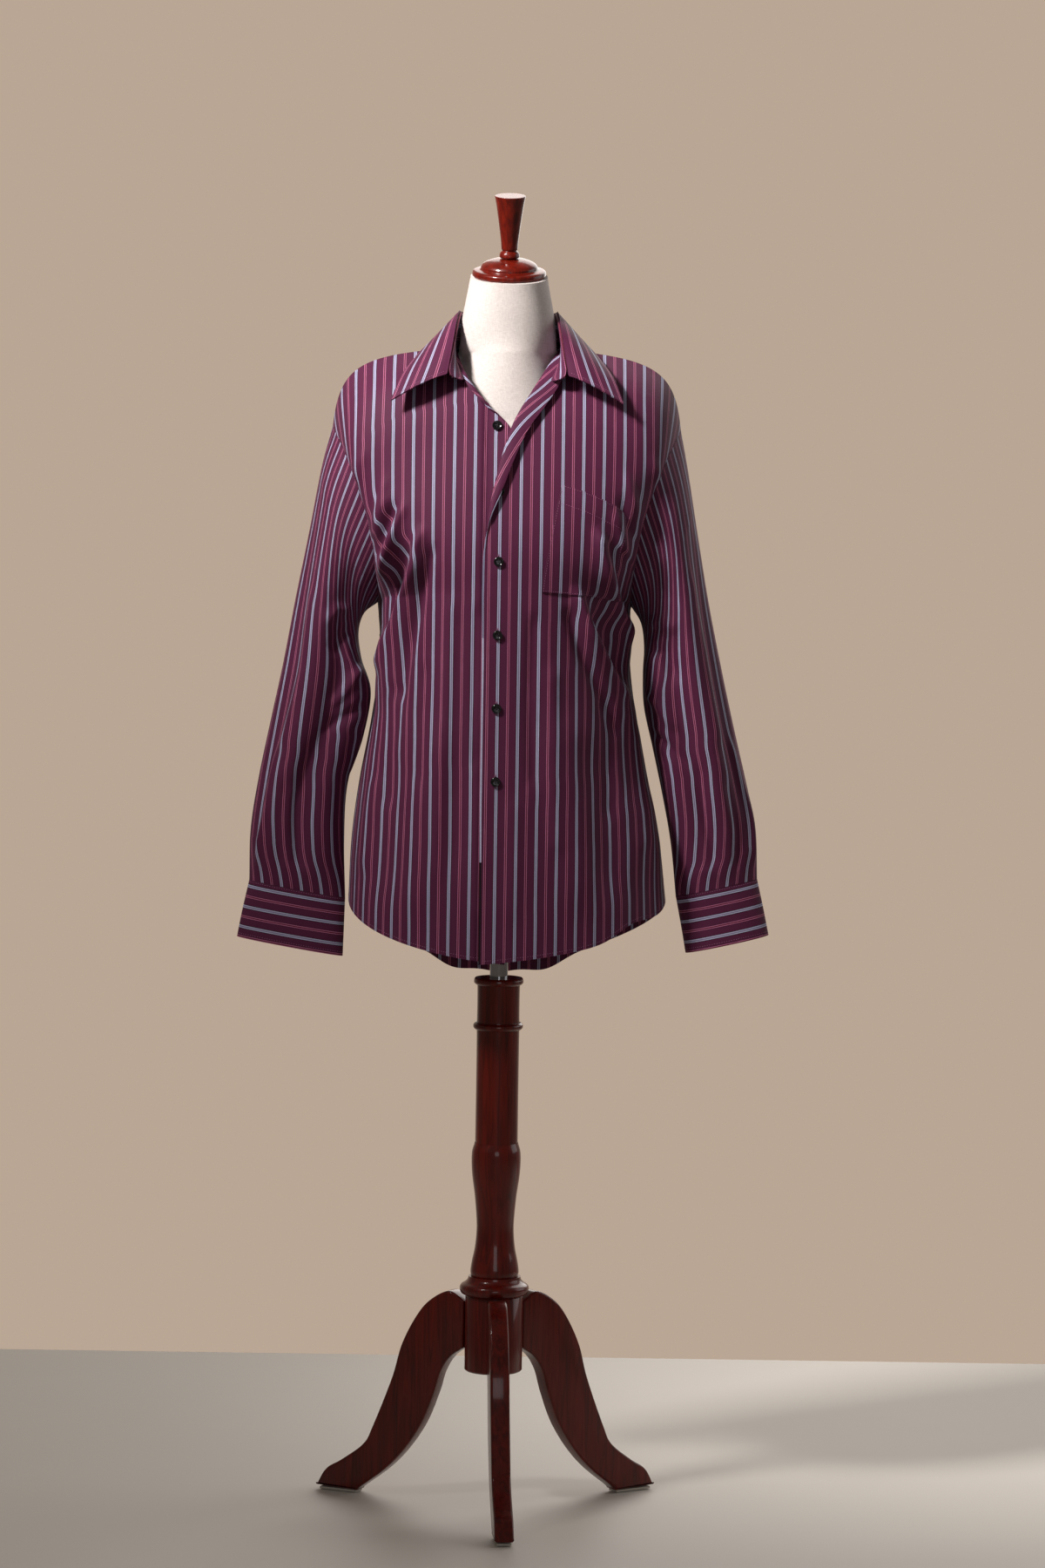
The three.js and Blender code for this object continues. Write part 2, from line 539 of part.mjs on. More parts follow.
// Moves the nearest value of a list on to each of the given ones, so that an edge lies on the grid.
function snapTo(list, values) {
  const snapped = [...list];
  for (const value of values) {
    const gaps = snapped.map((entry) => Math.abs(entry - value));
    snapped[gaps.indexOf(Math.min(...gaps))] = value;
  }
  return snapped;
}

const FRONT_U = snapTo(steps(ACROSS), [POCKET_PLACE.inner, POCKET_PLACE.outer]);
const FRONT_V = snapTo(
  [...steps(LOW_ROWS, 0, FRONT_UNDERARM), ...steps(FRONT_HIGH_ROWS, FRONT_UNDERARM, 1).slice(1)],
  [POCKET_PLACE.high],
);
const BACK_V = [...steps(LOW_ROWS, 0, BACK_UNDERARM), ...steps(BACK_HIGH_ROWS, BACK_UNDERARM, 1).slice(1)];

function frontGrid(side) {
  const grid = FRONT_V.map((v) => FRONT_U.map((u) => frontSurface(side, u, v).point));
  const normals = gridNormals(grid, () => new THREE.Vector3(side * 0.5, -1, 0.2));
  return { grid, normals };
}

function frontPanel(side) {
  const { grid, normals } = frontGrid(side);
  const high = range(FRONT_HIGH_ROWS + 1).map((index) => index + LOW_ROWS);
  leanAtArmhole(grid, normals, side, ACROSS, high);
  for (const j of range(LOW_ROWS)) {
    normals[j][ACROSS].set(side, 0, 0);
    grid[j][ACROSS].y -= SEAM_GAP / 2;
  }
  FRONT_U.slice(0, -1).forEach((share, i) => {
    normals[grid.length - 1][i].copy(shoulderOutward(side, share));
  });
  drawIn(grid, 'high', SEAM_GAP);
  if (side === LEFT) addRoll(grid, normals);
  return wallGeometry(grid, offsetGrid(grid, normals, -CLOTH));
}

// The left front turns over along its upper edge. Its strip bends forward and lies back over the panel.
function addRoll(grid, normals) {
  grid.forEach((row, j) => {
    const width = Math.max(0, track(ROLL_WIDTH, null, FRONT_V[j]));
    const edge = row[0].clone();
    const out = normals[j][0].clone();
    const across = row[1].clone().sub(edge).normalize();
    const strip = [0.28, 0.65, 1].map((share) => {
      const reach = width * share - ROLL.lift * (share < 0.5 ? 1 : 0);
      const lift = share < 0.5 ? ROLL.stand * 0.75 : ROLL.stand + CLOTH;
      const flat = edge.clone().addScaledVector(across, -3 * share - 0.6);
      const turned = edge.clone().addScaledVector(across, reach).addScaledVector(out, lift);
      return flat.lerp(turned, smooth(0, 9, width));
    });
    const face = strip.map((_, index) => {
      const turnedFace = index === 0 ? across.clone().negate() : out.clone().negate();
      return out.clone().lerp(turnedFace, smooth(0, 9, width)).normalize();
    });
    row.unshift(...strip.reverse());
    normals[j].unshift(...face.reverse());
  });
}

function backPanel() {
  const us = steps(2 * BACK_ACROSS, -1, 1);
  const grid = BACK_V.map((v) => us.map((u) => backSurface(u, v).point));
  const normals = gridNormals(grid, (point) => new THREE.Vector3(point.x * 0.002, 1, 0));
  const high = range(BACK_HIGH_ROWS + 1).map((index) => index + LOW_ROWS);
  for (const [side, column] of [[RIGHT, 0], [LEFT, 2 * BACK_ACROSS]]) {
    leanAtArmhole(grid, normals, side, column, high);
    for (const j of range(LOW_ROWS)) {
      normals[j][column].set(side, 0, 0);
      grid[j][column].y += SEAM_GAP / 2;
    }
  }
  drawIn(grid, 'high', SEAM_GAP);
  return wallGeometry(grid, offsetGrid(grid, normals, -CLOTH));
}

// The yoke spans from the back's top seam to the shoulder seams and the back of the neck.
const NECK_COLUMNS = 5;
const YOKE_NECK = NECK_COLUMNS / (NECK_COLUMNS + ACROSS);

function neckSeamPoint(side, share) {
  const v = share / 2;
  return new THREE.Vector3(
    side * track(COLLAR_ROWS, 'x', v),
    track(COLLAR_ROWS, 'y', v),
    track(COLLAR_ROWS, 'z', v) - SEAM_GAP,
  );
}

function yokePoint(u, v) {
  const side = u < 0 ? RIGHT : LEFT;
  const place = Math.abs(u);
  const low = backBase(u, 1);
  const top = place < YOKE_NECK
    ? neckSeamPoint(side, place / YOKE_NECK)
    : frontBase(side, (place - YOKE_NECK) / (1 - YOKE_NECK), 1);
  const edge = armholePoint(side, mix(YOKE_END, SHOULDER_TIP, v));
  const crown = new THREE.Vector3((low.x + top.x) / 2, mix(low.y, top.y, 0.14), mix(low.z, top.z, 0.72));
  const point = conic(low, crown, top, 1, v);
  return point.lerp(edge, smooth(0.82, 1, place));
}

function yokePanel() {
  const half = NECK_COLUMNS + ACROSS;
  const shoulder = FRONT_U.map((u) => mix(YOKE_NECK, 1, u));
  const leftward = [...steps(NECK_COLUMNS, 0, YOKE_NECK).slice(0, -1), ...shoulder];
  const us = [...leftward.slice(1).reverse().map((u) => -u), ...leftward];
  const grid = steps(YOKE_ROWS).map((v) => us.map((u) => yokePoint(u, v)));
  const normals = gridNormals(grid, () => new THREE.Vector3(0, 0.8, 1));
  const every = range(YOKE_ROWS + 1);
  leanAtArmhole(grid, normals, RIGHT, 0, every);
  leanAtArmhole(grid, normals, LEFT, 2 * half, every);
  us.forEach((u, i) => {
    const share = (Math.abs(u) - YOKE_NECK) / (1 - YOKE_NECK);
    if (share >= -1e-6 && share < 0.99) normals[YOKE_ROWS][i].copy(shoulderOutward(Math.sign(u), Math.max(share, 0)));
  });
  drawIn(grid, 'low', SEAM_GAP);
  drawIn(grid, 'high', SEAM_GAP);
  return wallGeometry(grid, offsetGrid(grid, normals, -CLOTH));
}

// Turns round the armhole at which the front, yoke and back rows end, from the underarm round.
const SLEEVE_TURNS = [
  ...FRONT_V.slice(LOW_ROWS, -1).map((v) => (SHOULDER_TIP * (v - FRONT_UNDERARM)) / (1 - FRONT_UNDERARM)),
  ...steps(YOKE_ROWS, SHOULDER_TIP, YOKE_END).slice(0, -1),
  ...steps(BACK_HIGH_ROWS, YOKE_END, 1).slice(0, -1),
];
const SLEEVE_RINGS = 13;

function ringPoint(rows, side, turn, v) {
  const angle = 2 * Math.PI * turn;
  const inward = Math.cos(angle);
  const forward = Math.sin(angle);
  const xIn = track(rows, 'xIn', v);
  const xOut = track(rows, 'xOut', v);
  const across = (1 - Math.sign(inward) * Math.abs(inward) ** 0.9) / 2;
  const reach = forward > 0 ? -track(rows, 'front', v) : track(rows, 'back', v);
  return new THREE.Vector3(
    side * mix(xIn, xOut, across),
    track(rows, 'yMid', v) + reach * Math.abs(forward) ** 0.9,
    mix(track(rows, 'zIn', v), track(rows, 'zOut', v), across),
  );
}

function sleeveFoldDepth(side, turn, v) {
  let depth = 0;
  for (const fold of SLEEVE_FOLDS[side]) {
    const along = (v - fold.from) / (fold.to - fold.from);
    if (along <= 0 || along >= 1) continue;
    const gap = Math.abs(turn - track(fold.turn, null, along));
    const near = Math.min(gap, 1 - gap) / fold.width;
    depth += fold.depth * Math.sin(Math.PI * along) ** 0.6 * Math.exp(-near * near);
  }
  return depth;
}

function sleevePoint(side, turn, v) {
  const rows = SLEEVE_ROWS[side];
  const point = ringPoint(rows, side, turn, v);
  const hold = (1 - clamp01(v / 0.3)) ** 2;
  const seam = armholePoint(side, turn).sub(ringPoint(rows, side, turn, 0));
  point.addScaledVector(seam, hold);
  const middleX = side * (track(rows, 'xIn', v) + track(rows, 'xOut', v)) / 2;
  const away = new THREE.Vector3(point.x - middleX, point.y - track(rows, 'yMid', v), 0).normalize();
  return point.addScaledVector(away, sleeveFoldDepth(side, turn, v));
}

function sleeveGrid(side) {
  const grid = steps(SLEEVE_RINGS).map((v) => SLEEVE_TURNS.map((turn) => sleevePoint(side, turn, v)));
  const rows = SLEEVE_ROWS[side];
  const outward = (point, i, j) => {
    const v = j / SLEEVE_RINGS;
    const middle = side * (track(rows, 'xIn', v) + track(rows, 'xOut', v)) / 2;
    return new THREE.Vector3(point.x - middle, point.y - track(rows, 'yMid', v), 0);
  };
  const normals = gridNormals(grid, outward, true);
  grid[0].forEach((point, i) => {
    normals[0][i].copy(armholeOutward(point));
    point.x += side * SEAM_GAP * 0.6;
  });
  normals[SLEEVE_RINGS].forEach((normal) => normal.setZ(0).normalize());
  return { grid, normals };
}

function sleevePanel(side) {
  const { grid, normals } = sleeveGrid(side);
  return wallGeometry(grid, offsetGrid(grid, normals, -CLOTH), true);
}

// The placket of the sleeve's slit lies on the back of the sleeve, above the cuff.
const PLACKET = { columns: [14, 15], firstRing: 10, clear: 0.35 };
function sleevePlacket(side) {
  const { grid, normals } = sleeveGrid(side);
  const rings = range(SLEEVE_RINGS + 1 - PLACKET.firstRing).map((index) => index + PLACKET.firstRing);
  const layer = (lift) => rings.map((j) => PLACKET.columns.map((i) => (
    grid[j][i].clone().addScaledVector(normals[j][i], lift)
  )));
  return wallGeometry(layer(PLACKET.clear + CLOTH), layer(PLACKET.clear));
}

// A cuff is one band whose ends lap behind the arm, the outer end with rounded corners.
const CUFF = {
  start: 0.8, lap: 0.08, girth: 262, height: 70, columns: 26, rows: 3, round: 13, lift: CUFF_CLOTH + 0.6,
};

function cuffPoint(side, share, v) {
  const rows = CUFF_ROWS[side];
  const span = 1 + CUFF.lap;
  const end = Math.min(share, 1 - share) * CUFF.girth * span;
  const short = Math.max(0, CUFF.round - end);
  const lift = CUFF.round - Math.sqrt(CUFF.round ** 2 - short ** 2);
  const point = ringPoint(rows, side, CUFF.start + share * span, v * (1 - lift / CUFF.height));
  return point.addScaledVector(cuffOutward(side, point), CUFF.lift * smooth(0.72, 0.97, share));
}

function cuffOutward(side, point) {
  const middle = side * (CUFF_ROWS[side][1].xIn + CUFF_ROWS[side][1].xOut) / 2;
  return new THREE.Vector3((point.x - middle) * 0.1, point.y - CUFF_ROWS[side][1].yMid, 0).normalize();
}

function cuffPanel(side) {
  const shares = [0, 0.012, 0.03, ...steps(CUFF.columns, 0.05, 0.95), 0.97, 0.988, 1];
  const grid = steps(CUFF.rows).map((v) => shares.map((share) => cuffPoint(side, share, v)));
  const normals = gridNormals(grid, (point) => cuffOutward(side, point));
  normals[0].forEach((normal) => normal.setZ(0).normalize());
  return wallGeometry(grid, offsetGrid(grid, normals, -CUFF_CLOTH));
}

// Collar stand and leaf, each one piece from the wearer's right front end to the left
const COLLAR_COLUMNS = 28;
const STAND = { rows: 2, round: 12, cloth: 2 };
const LEAF = { rows: 4, cloth: 1.8, gap: 0.35 };

function collarValue(place, column) {
  return track(COLLAR_ROWS, column, Math.abs(place));
}

function collarPoint(place, columns) {
  const side = place < 0 ? RIGHT : LEFT;
  const [x, y, z] = columns.map((column) => collarValue(place, column));
  return new THREE.Vector3(side * x, y, z);
}

function standPanel() {
  const places = steps(COLLAR_COLUMNS, -1, 1);
  const grid = steps(STAND.rows).map((v) => places.map((place) => {
    const low = collarPoint(place, ['x', 'y', 'z']);
    const high = collarPoint(place, ['tx', 'ty', 'tz']);
    low.z += SEAM_GAP;
    const fromEnd = (1 - Math.abs(place)) * 190;
    const cut = Math.max(0, STAND.round - fromEnd);
    const taper = 1 - Math.sqrt(Math.max(0, 1 - (cut / STAND.round) ** 2)) * 0.999;
    const lowShare = cut > 0 ? 0.42 * taper : 0;
    const highShare = cut > 0 ? 1 - 0.3 * taper : 1;
    return low.clone().lerp(high, mix(lowShare, highShare, v));
  }));
  const normals = gridNormals(grid, (point) => new THREE.Vector3(point.x, point.y + 4, -60));
  return wallGeometry(grid, offsetGrid(grid, normals, -STAND.cloth));
}

function leafPoint(place, v) {
  const start = collarPoint(place, ['tx', 'ty', 'tz']);
  const roll = collarPoint(place, ['rx', 'ry', 'rz']);
  const edge = collarPoint(place, ['ex', 'ey', 'ez']);
  return conic(start, roll, edge, 1, v);
}

function leafPanel() {
  const places = steps(COLLAR_COLUMNS, -1, 1);
  const grid = steps(LEAF.rows).map((v) => places.map((place) => leafPoint(place, v)));
  const normals = gridNormals(grid, (point) => new THREE.Vector3(point.x, point.y, 60));
  const raised = offsetGrid(grid, normals, LEAF.cloth + LEAF.gap);
  raised[0].forEach((point) => {
    point.z += LEAF.gap + 0.4;
  });
  return wallGeometry(raised, offsetGrid(raised, normals, -LEAF.cloth));
}

// The flat facets of the panel stand a little off its curve, so pieces on it follow the facets.
function onPanelGrid(grid, normals, vs, u, v) {
  const cell = (list, value) => {
    const next = list.findIndex((entry) => entry > value + 1e-9);
    return next < 0 ? list.length - 2 : Math.max(next - 1, 0);
  };
  const i = cell(FRONT_U, u);
  const j = cell(vs, v);
  const a = (u - FRONT_U[i]) / (FRONT_U[i + 1] - FRONT_U[i]);
  const b = (v - vs[j]) / (vs[j + 1] - vs[j]);
  const blend = (field) => {
    const low = field[j][i].clone().lerp(field[j][i + 1], a);
    const high = field[j + 1][i].clone().lerp(field[j + 1][i + 1], a);
    return low.lerp(high, b);
  };
  return { point: blend(grid), normal: blend(normals).normalize() };
}

// The pocket shares the panel's own facets between two columns and two levels.
const POCKET_CLEAR = 0.35;
function pocketPatch() {
  const { grid, normals } = frontGrid(LEFT);
  const within = (list, from, to) => list.filter((value) => value >= from - 1e-9 && value <= to + 1e-9);
  const us = within(FRONT_U, POCKET_PLACE.inner, POCKET_PLACE.outer);
  const vs = within(FRONT_V, POCKET_PLACE.low, POCKET_PLACE.high);
  const spots = vs.map((v) => us.map((u) => onPanelGrid(grid, normals, FRONT_V, u, v)));
  const layer = (lift) => spots.map((row) => row.map(({ point, normal }) => point.clone().addScaledVector(normal, lift)));
  return wallGeometry(layer(POCKET_CLEAR + 1), layer(POCKET_CLEAR));
}

// A round button with a raised rim
function buttonGeometry() {
  const { radius, thickness, rim } = BUTTON;
  const profile = [
    [0, 0], [radius - 0.6, 0], [radius, 0.7], [radius, thickness - 0.3], [radius - 0.6, thickness],
    [radius - 1.6, thickness - 0.2], [radius - 2.2, thickness - rim], [0, thickness - rim],
  ];
  return new THREE.LatheGeometry(profile.map(([x, y]) => new THREE.Vector2(x, y)), 10);
}

function layButton(mesh, point, normal, clear) {
  mesh.position.copy(point).addScaledVector(normal, clear);
  mesh.quaternion.setFromUnitVectors(new THREE.Vector3(0, 1, 0), normal);
}

// Turned pieces: the profile runs up the outside and closes on the axis, or on a bore where one is given.
function turned(profile, sides, bore = 0) {
  const points = profile.map(([radius, height]) => new THREE.Vector2(radius, height));
  const low = new THREE.Vector2(bore, profile[0][1]);
  const high = new THREE.Vector2(bore, profile[profile.length - 1][1]);
  const outline = bore > 0 ? [low, ...points, high, low.clone()] : [low, ...points, high];
  const geometry = new THREE.LatheGeometry(outline, sides);
  geometry.rotateX(Math.PI / 2);
  return geometry;
}

// The foot of the neck flares down into the chest, in front of the sloping shoulders.
function neckFoot(x, y, z) {
  const drop = (NECK_FOOT.z - z) / NECK_FOOT.height;
  const half = NECK_FOOT.half + NECK_FOOT.spread * drop ** 2;
  if (drop <= 0 || drop >= 1 || y > 0 || Math.abs(x) >= half) return y;
  const round = Math.sqrt(1 - (x / half) ** 2);
  const reach = 7 + (NECK_FOOT.reach - 7 + NECK_FOOT.flare * drop) * round;
  const soft = 8 * round * smooth(0, 0.15, drop) * (1 - smooth(0.85, 1, drop));
  return -(reach - y + Math.hypot(reach + y, soft)) / 2;
}

function formRing(row, sides) {
  const middle = (row.front + row.back) / 2;
  const depth = (row.back - row.front) / 2;
  return range(sides).map((index) => {
    const angle = (2 * Math.PI * index) / sides;
    const x = Math.sign(Math.cos(angle)) * Math.abs(Math.cos(angle)) ** 0.88 * row.half;
    const y = Math.sign(Math.sin(angle)) * Math.abs(Math.sin(angle)) ** 0.88 * depth;
    return new THREE.Vector3(x, neckFoot(x, middle + y, row.z), row.z + row.slope * y);
  });
}

function torsoGeometry() {
  const sides = 36;
  const rings = FORM_ROWS.map((row) => formRing(row, sides));
  const positions = rings.flat().flatMap((point) => point.toArray());
  const triangles = [];
  for (let j = 0; j < rings.length - 1; j += 1) {
    for (let i = 0; i < sides; i += 1) {
      const a = j * sides + i;
      const b = j * sides + ((i + 1) % sides);
      triangles.push(a, b, b + sides, a, b + sides, a + sides);
    }
  }
  const ends = [[0, 1], [rings.length - 1, -1]];
  for (const [ring, sign] of ends) {
    const middle = rings[ring].reduce((sum, point) => sum.add(point), new THREE.Vector3()).divideScalar(sides);
    const hub = positions.length / 3;
    positions.push(middle.x, middle.y, middle.z);
    for (let i = 0; i < sides; i += 1) {
      const a = ring * sides + i;
      const b = ring * sides + ((i + 1) % sides);
      triangles.push(...(sign > 0 ? [hub, b, a] : [hub, a, b]));
    }
  }
  return closedGeometry(positions, triangles);
}

function plateGeometry(rings) {
  const positions = rings.flat().flatMap((point) => point.toArray());
  const sides = rings[0].length;
  const triangles = [];
  const low = THREE.ShapeUtils.triangulateShape(rings[0].map((point) => new THREE.Vector2(point.x, point.y)), []);
  for (const [a, b, c] of low) {
    triangles.push(c, b, a, sides + a, sides + b, sides + c);
  }
  for (let i = 0; i < sides; i += 1) {
    const b = (i + 1) % sides;
    triangles.push(i, b, sides + b, i, sides + b, sides + i);
  }
  return closedGeometry(positions, triangles);
}

function legGeometry() {
  const curve = (points) => new THREE.SplineCurve(points.map(([x, y]) => new THREE.Vector2(x, y)));
  const top = curve(LEG_TOP).getPoints(16);
  const under = curve(LEG_UNDER).getPoints(11);
  const shape = new THREE.Shape([...top, ...under]);
  const geometry = new THREE.ExtrudeGeometry(shape, {
    depth: LEG.thickness - 2 * LEG.bevel,
    bevelEnabled: true,
    bevelThickness: LEG.bevel,
    bevelSize: LEG.bevel,
    bevelOffset: -LEG.bevel,
    bevelSegments: 1,
    steps: 1,
  });
  geometry.translate(0, 0, -LEG.thickness / 2 + LEG.bevel);
  geometry.rotateX(Math.PI / 2);
  return geometry;
}

// Materials
const paint = (color, roughness, metalness = 0) => new THREE.MeshStandardMaterial({ color, roughness, metalness });
const SHIRT_CLOTH = paint(0x5a2348, 0.75);
const BUTTON_BLACK = paint(0x0b0a0d, 0.2);
const FORM_CLOTH = paint(0xe9ded8, 0.9);
const MAHOGANY = paint(0x5a0d06, 0.25);
const CHROME = paint(0xd8d8da, 0.12, 1);
const PAD_FELT = paint(0xcfc9c0, 0.9);

const model = new THREE.Group();
function add(name, geometry, material, parent = model) {
  const mesh = new THREE.Mesh(geometry, material);
  mesh.name = name;
  parent.add(mesh);
  return mesh;
}

function buildShirt() {
  add('right_front', frontPanel(RIGHT), SHIRT_CLOTH);
  add('left_front', frontPanel(LEFT), SHIRT_CLOTH);
  add('back', backPanel(), SHIRT_CLOTH);
  add('yoke', yokePanel(), SHIRT_CLOTH);
  add('collar_stand', standPanel(), SHIRT_CLOTH);
  add('collar_leaf', leafPanel(), SHIRT_CLOTH);
  add('pocket', pocketPatch(), SHIRT_CLOTH);
  for (const [name, side] of [['right', RIGHT], ['left', LEFT]]) {
    add(`${name}_sleeve`, sleevePanel(side), SHIRT_CLOTH);
    add(`${name}_sleeve_placket`, sleevePlacket(side), SHIRT_CLOTH);
    add(`${name}_cuff`, cuffPanel(side), SHIRT_CLOTH);
  }
}

function buildFrontButtons() {
  FRONT_BUTTON_Z.forEach((z, index) => {
    const side = index === 0 ? RIGHT : LEFT;
    const { grid, normals } = frontGrid(side);
    const place = placeOnFront(side, BUTTON_X, z);
    const spot = onPanelGrid(grid, normals, FRONT_V, place.u, place.v);
    const mesh = add(`button_${index + 1}`, buttonGeometry(), BUTTON_BLACK);
    layButton(mesh, spot.point, spot.normal, 0.9);
  });
}

function buildCuffButtons() {
  for (const [name, side] of [['right', RIGHT], ['left', LEFT]]) {
    const point = cuffPoint(side, 0.955, 0.5);
    const mesh = add(`${name}_cuff_button`, buttonGeometry(), BUTTON_BLACK);
    layButton(mesh, point, cuffOutward(side, point), 0.9);
  }
}

function buildForm() {
  add('form_torso', torsoGeometry(), FORM_CLOTH);
  const seat = formRing({ ...FORM_ROWS[0], half: FORM_ROWS[0].half - 6, front: FORM_ROWS[0].front + 6,
    back: FORM_ROWS[0].back - 6 }, 32);
  const level = (z) => seat.map((point) => new THREE.Vector3(point.x, point.y, z));
  add('form_base', plateGeometry([level(713), level(721.7)]), MAHOGANY);
  const neck = FORM_ROWS[FORM_ROWS.length - 1];
  const head = new THREE.Group();
  head.position.set(0, (neck.front + neck.back) / 2, neck.z);
  head.rotation.x = THREE.MathUtils.degToRad(FORM_LEAN);
  model.add(head);
  add('neck_cap', turned(CAP_PROFILE, 20), MAHOGANY, head);
  add('finial', turned(FINIAL_PROFILE, 14), MAHOGANY, head);
}

function buildStand() {
  add('pole', turned([[PILLAR.pole, PILLAR.poleFoot], [PILLAR.pole, 712.7]], 24), CHROME);
  add('column', turned(COLUMN_PROFILE, 20, PILLAR.bore), MAHOGANY);
  add('base_ring', turned(BASE_RING_PROFILE, 20), MAHOGANY);
  add('hub', turned([[35, 167], [35, 260]], 20), MAHOGANY);
  const screw = turned(SCREW_PROFILE, 12);
  screw.rotateX(-Math.PI / 2);
  add('height_screw', screw, CHROME).position.set(0, 0, SCREW_HEIGHT);
  for (const index of range(LEG.count)) {
    const arm = new THREE.Group();
    arm.rotation.z = THREE.MathUtils.degToRad(-90 + LEG.turn + (index * 360) / LEG.count);
    model.add(arm);
    add(`leg_${index + 1}`, legGeometry(), MAHOGANY, arm);
    const pad = new THREE.BoxGeometry(50, LEG.thickness - 6, LEG.padHeight);
    add(`foot_pad_${index + 1}`, pad, PAD_FELT, arm).position.set(206, 0, LEG.padHeight / 2);
  }
}

buildShirt();
buildFrontButtons();
buildCuffButtons();
buildForm();
buildStand();

// The origin lies on the floor under the middle of the whole.
model.updateMatrixWorld(true);
const reach = new THREE.Box3().setFromObject(model, true);
const middle = reach.getCenter(new THREE.Vector3());
model.position.set(-middle.x, -middle.y, -reach.min.z);

export default model;
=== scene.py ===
"""A striped dress shirt worn on a limbless dress form with a tripod stand, for a studio photograph.

Shapes are written in millimetres round the upright axis of the stand, with +Z up. The shirt faces -Y and the
wearer's left is +X. place() turns them into metres in the model's own frame.
"""
import json
import math

import bpy
import numpy as np
from mathutils import Matrix, Vector

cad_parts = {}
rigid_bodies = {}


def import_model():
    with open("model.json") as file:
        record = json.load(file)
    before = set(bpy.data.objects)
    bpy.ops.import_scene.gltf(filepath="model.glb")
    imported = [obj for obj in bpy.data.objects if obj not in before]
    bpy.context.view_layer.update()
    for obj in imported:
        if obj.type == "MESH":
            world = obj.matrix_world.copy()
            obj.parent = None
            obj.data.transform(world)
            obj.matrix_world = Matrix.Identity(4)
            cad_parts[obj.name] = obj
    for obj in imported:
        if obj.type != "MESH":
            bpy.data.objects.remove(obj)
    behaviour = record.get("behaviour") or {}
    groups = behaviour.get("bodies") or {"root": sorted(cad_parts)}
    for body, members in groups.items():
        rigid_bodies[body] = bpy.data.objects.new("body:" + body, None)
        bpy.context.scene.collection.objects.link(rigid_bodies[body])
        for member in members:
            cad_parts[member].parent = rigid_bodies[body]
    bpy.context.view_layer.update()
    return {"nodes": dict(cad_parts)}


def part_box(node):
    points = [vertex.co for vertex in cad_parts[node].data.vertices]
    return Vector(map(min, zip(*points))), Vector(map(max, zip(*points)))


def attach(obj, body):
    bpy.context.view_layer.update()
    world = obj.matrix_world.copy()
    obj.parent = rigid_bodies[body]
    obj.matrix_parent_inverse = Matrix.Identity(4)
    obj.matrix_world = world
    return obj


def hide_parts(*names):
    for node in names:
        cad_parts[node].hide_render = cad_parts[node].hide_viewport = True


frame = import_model()

COLUMN_LOW, COLUMN_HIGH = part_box("column")
AXIS = np.array([(COLUMN_LOW[0] + COLUMN_HIGH[0]) / 2, (COLUMN_LOW[1] + COLUMN_HIGH[1]) / 2, 0.0])

RIGHT, LEFT = -1, 1
CLOTH = 1.3
SEAM_GAP = 0.3
ARMHOLE_GAP = 0.18


def table(names, rows):
    """A dictionary of columns from rows of numbers."""
    return dict(zip(names.split(), np.array(rows, float).T))


def folds(text):
    """Folds from lines of depth, width and a path, such as "9 13  92,1190 108,1140"."""
    rows = [line.split() for line in text.strip().splitlines()]
    read = lambda pair: tuple(float(part) for part in pair.split(","))
    return [(float(push), float(width), [read(pair) for pair in path]) for push, width, *path in rows]


# The fronts by level, hem to shoulder, and the back, hem to yoke seam
FRONT_ROWS = table("z y x_right x_left x_cor y_cor z_cor w", [
    (676, -124, -6, -21, 186, -129, 695, 0.8),
    (768, -124, -6, -21, 183, -129, 778, 0.8),
    (866, -124, -6, -22, 172, -130, 868, 0.8),
    (956, -125, -6, -22, 159, -132, 956, 0.8),
    (1042, -128, -6, -22, 147, -134, 1040, 0.85),
    (1123, -131, -6, -23, 148, -136, 1117, 0.9),
    (1184, -130, -6, -21, 156, -134, 1164, 1.0),
    (1242, -119, -6, -12, 168, -124, 1213, 1.0),
    (1307, -100, -6, 6, 182, -104, 1278, 1.0),
    (1341, -86, 26, 23, 190, -84, 1328, 1.1),
    (1372, -66, 50, 43, 197, -52, 1366, 1.3),
    (1404, 3, 65, 65, 201, 8, 1393, 1.7),
])
BACK_ROWS = table("z y x_cor y_cor z_cor w", [
    (638, 130, 190, 134, 688, 0.85),
    (752, 126, 184, 132, 758, 0.85),
    (862, 122, 176, 130, 866, 0.85),
    (956, 118, 166, 128, 956, 0.85),
    (1042, 116, 156, 128, 1040, 0.85),
    (1120, 116, 160, 127, 1112, 0.9),
    (1184, 118, 170, 124, 1164, 1.0),
    (1244, 117, 182, 120, 1222, 1.0),
    (1304, 111, 192, 112, 1288, 1.0),
])
FRONT_UNDERARM = 5 / 11
BACK_UNDERARM = 5 / 8

# Each front's inner edge, and where its stripes begin beside it
FRONT_EDGE = {RIGHT: FRONT_ROWS["x_right"], LEFT: FRONT_ROWS["x_left"]}
STRIPE_START = {RIGHT: -13, LEFT: 6.5}

SIDE_SEAM = table("z y x_right x_left", [
    (742, 8, 183, 200), (816, 8, 180, 191), (888, 8, 171, 176), (962, 8, 157, 161), (1034, 9, 147, 152),
    (1098, 10, 152, 152),
])

# The armhole from the underarm up the front, over the shoulder tip and down the back
ARMHOLE = table("x y z", [
    (152, 10, 1098), (153, -46, 1134), (164, -66, 1200), (187, -58, 1266), (209, 12, 1308), (199, 66, 1276),
    (182, 82, 1204), (164, 62, 1138),
])
ARMHOLE_MIDDLE = (9, 1200)
SHOULDER_TIP = 0.5
YOKE_END = 0.625

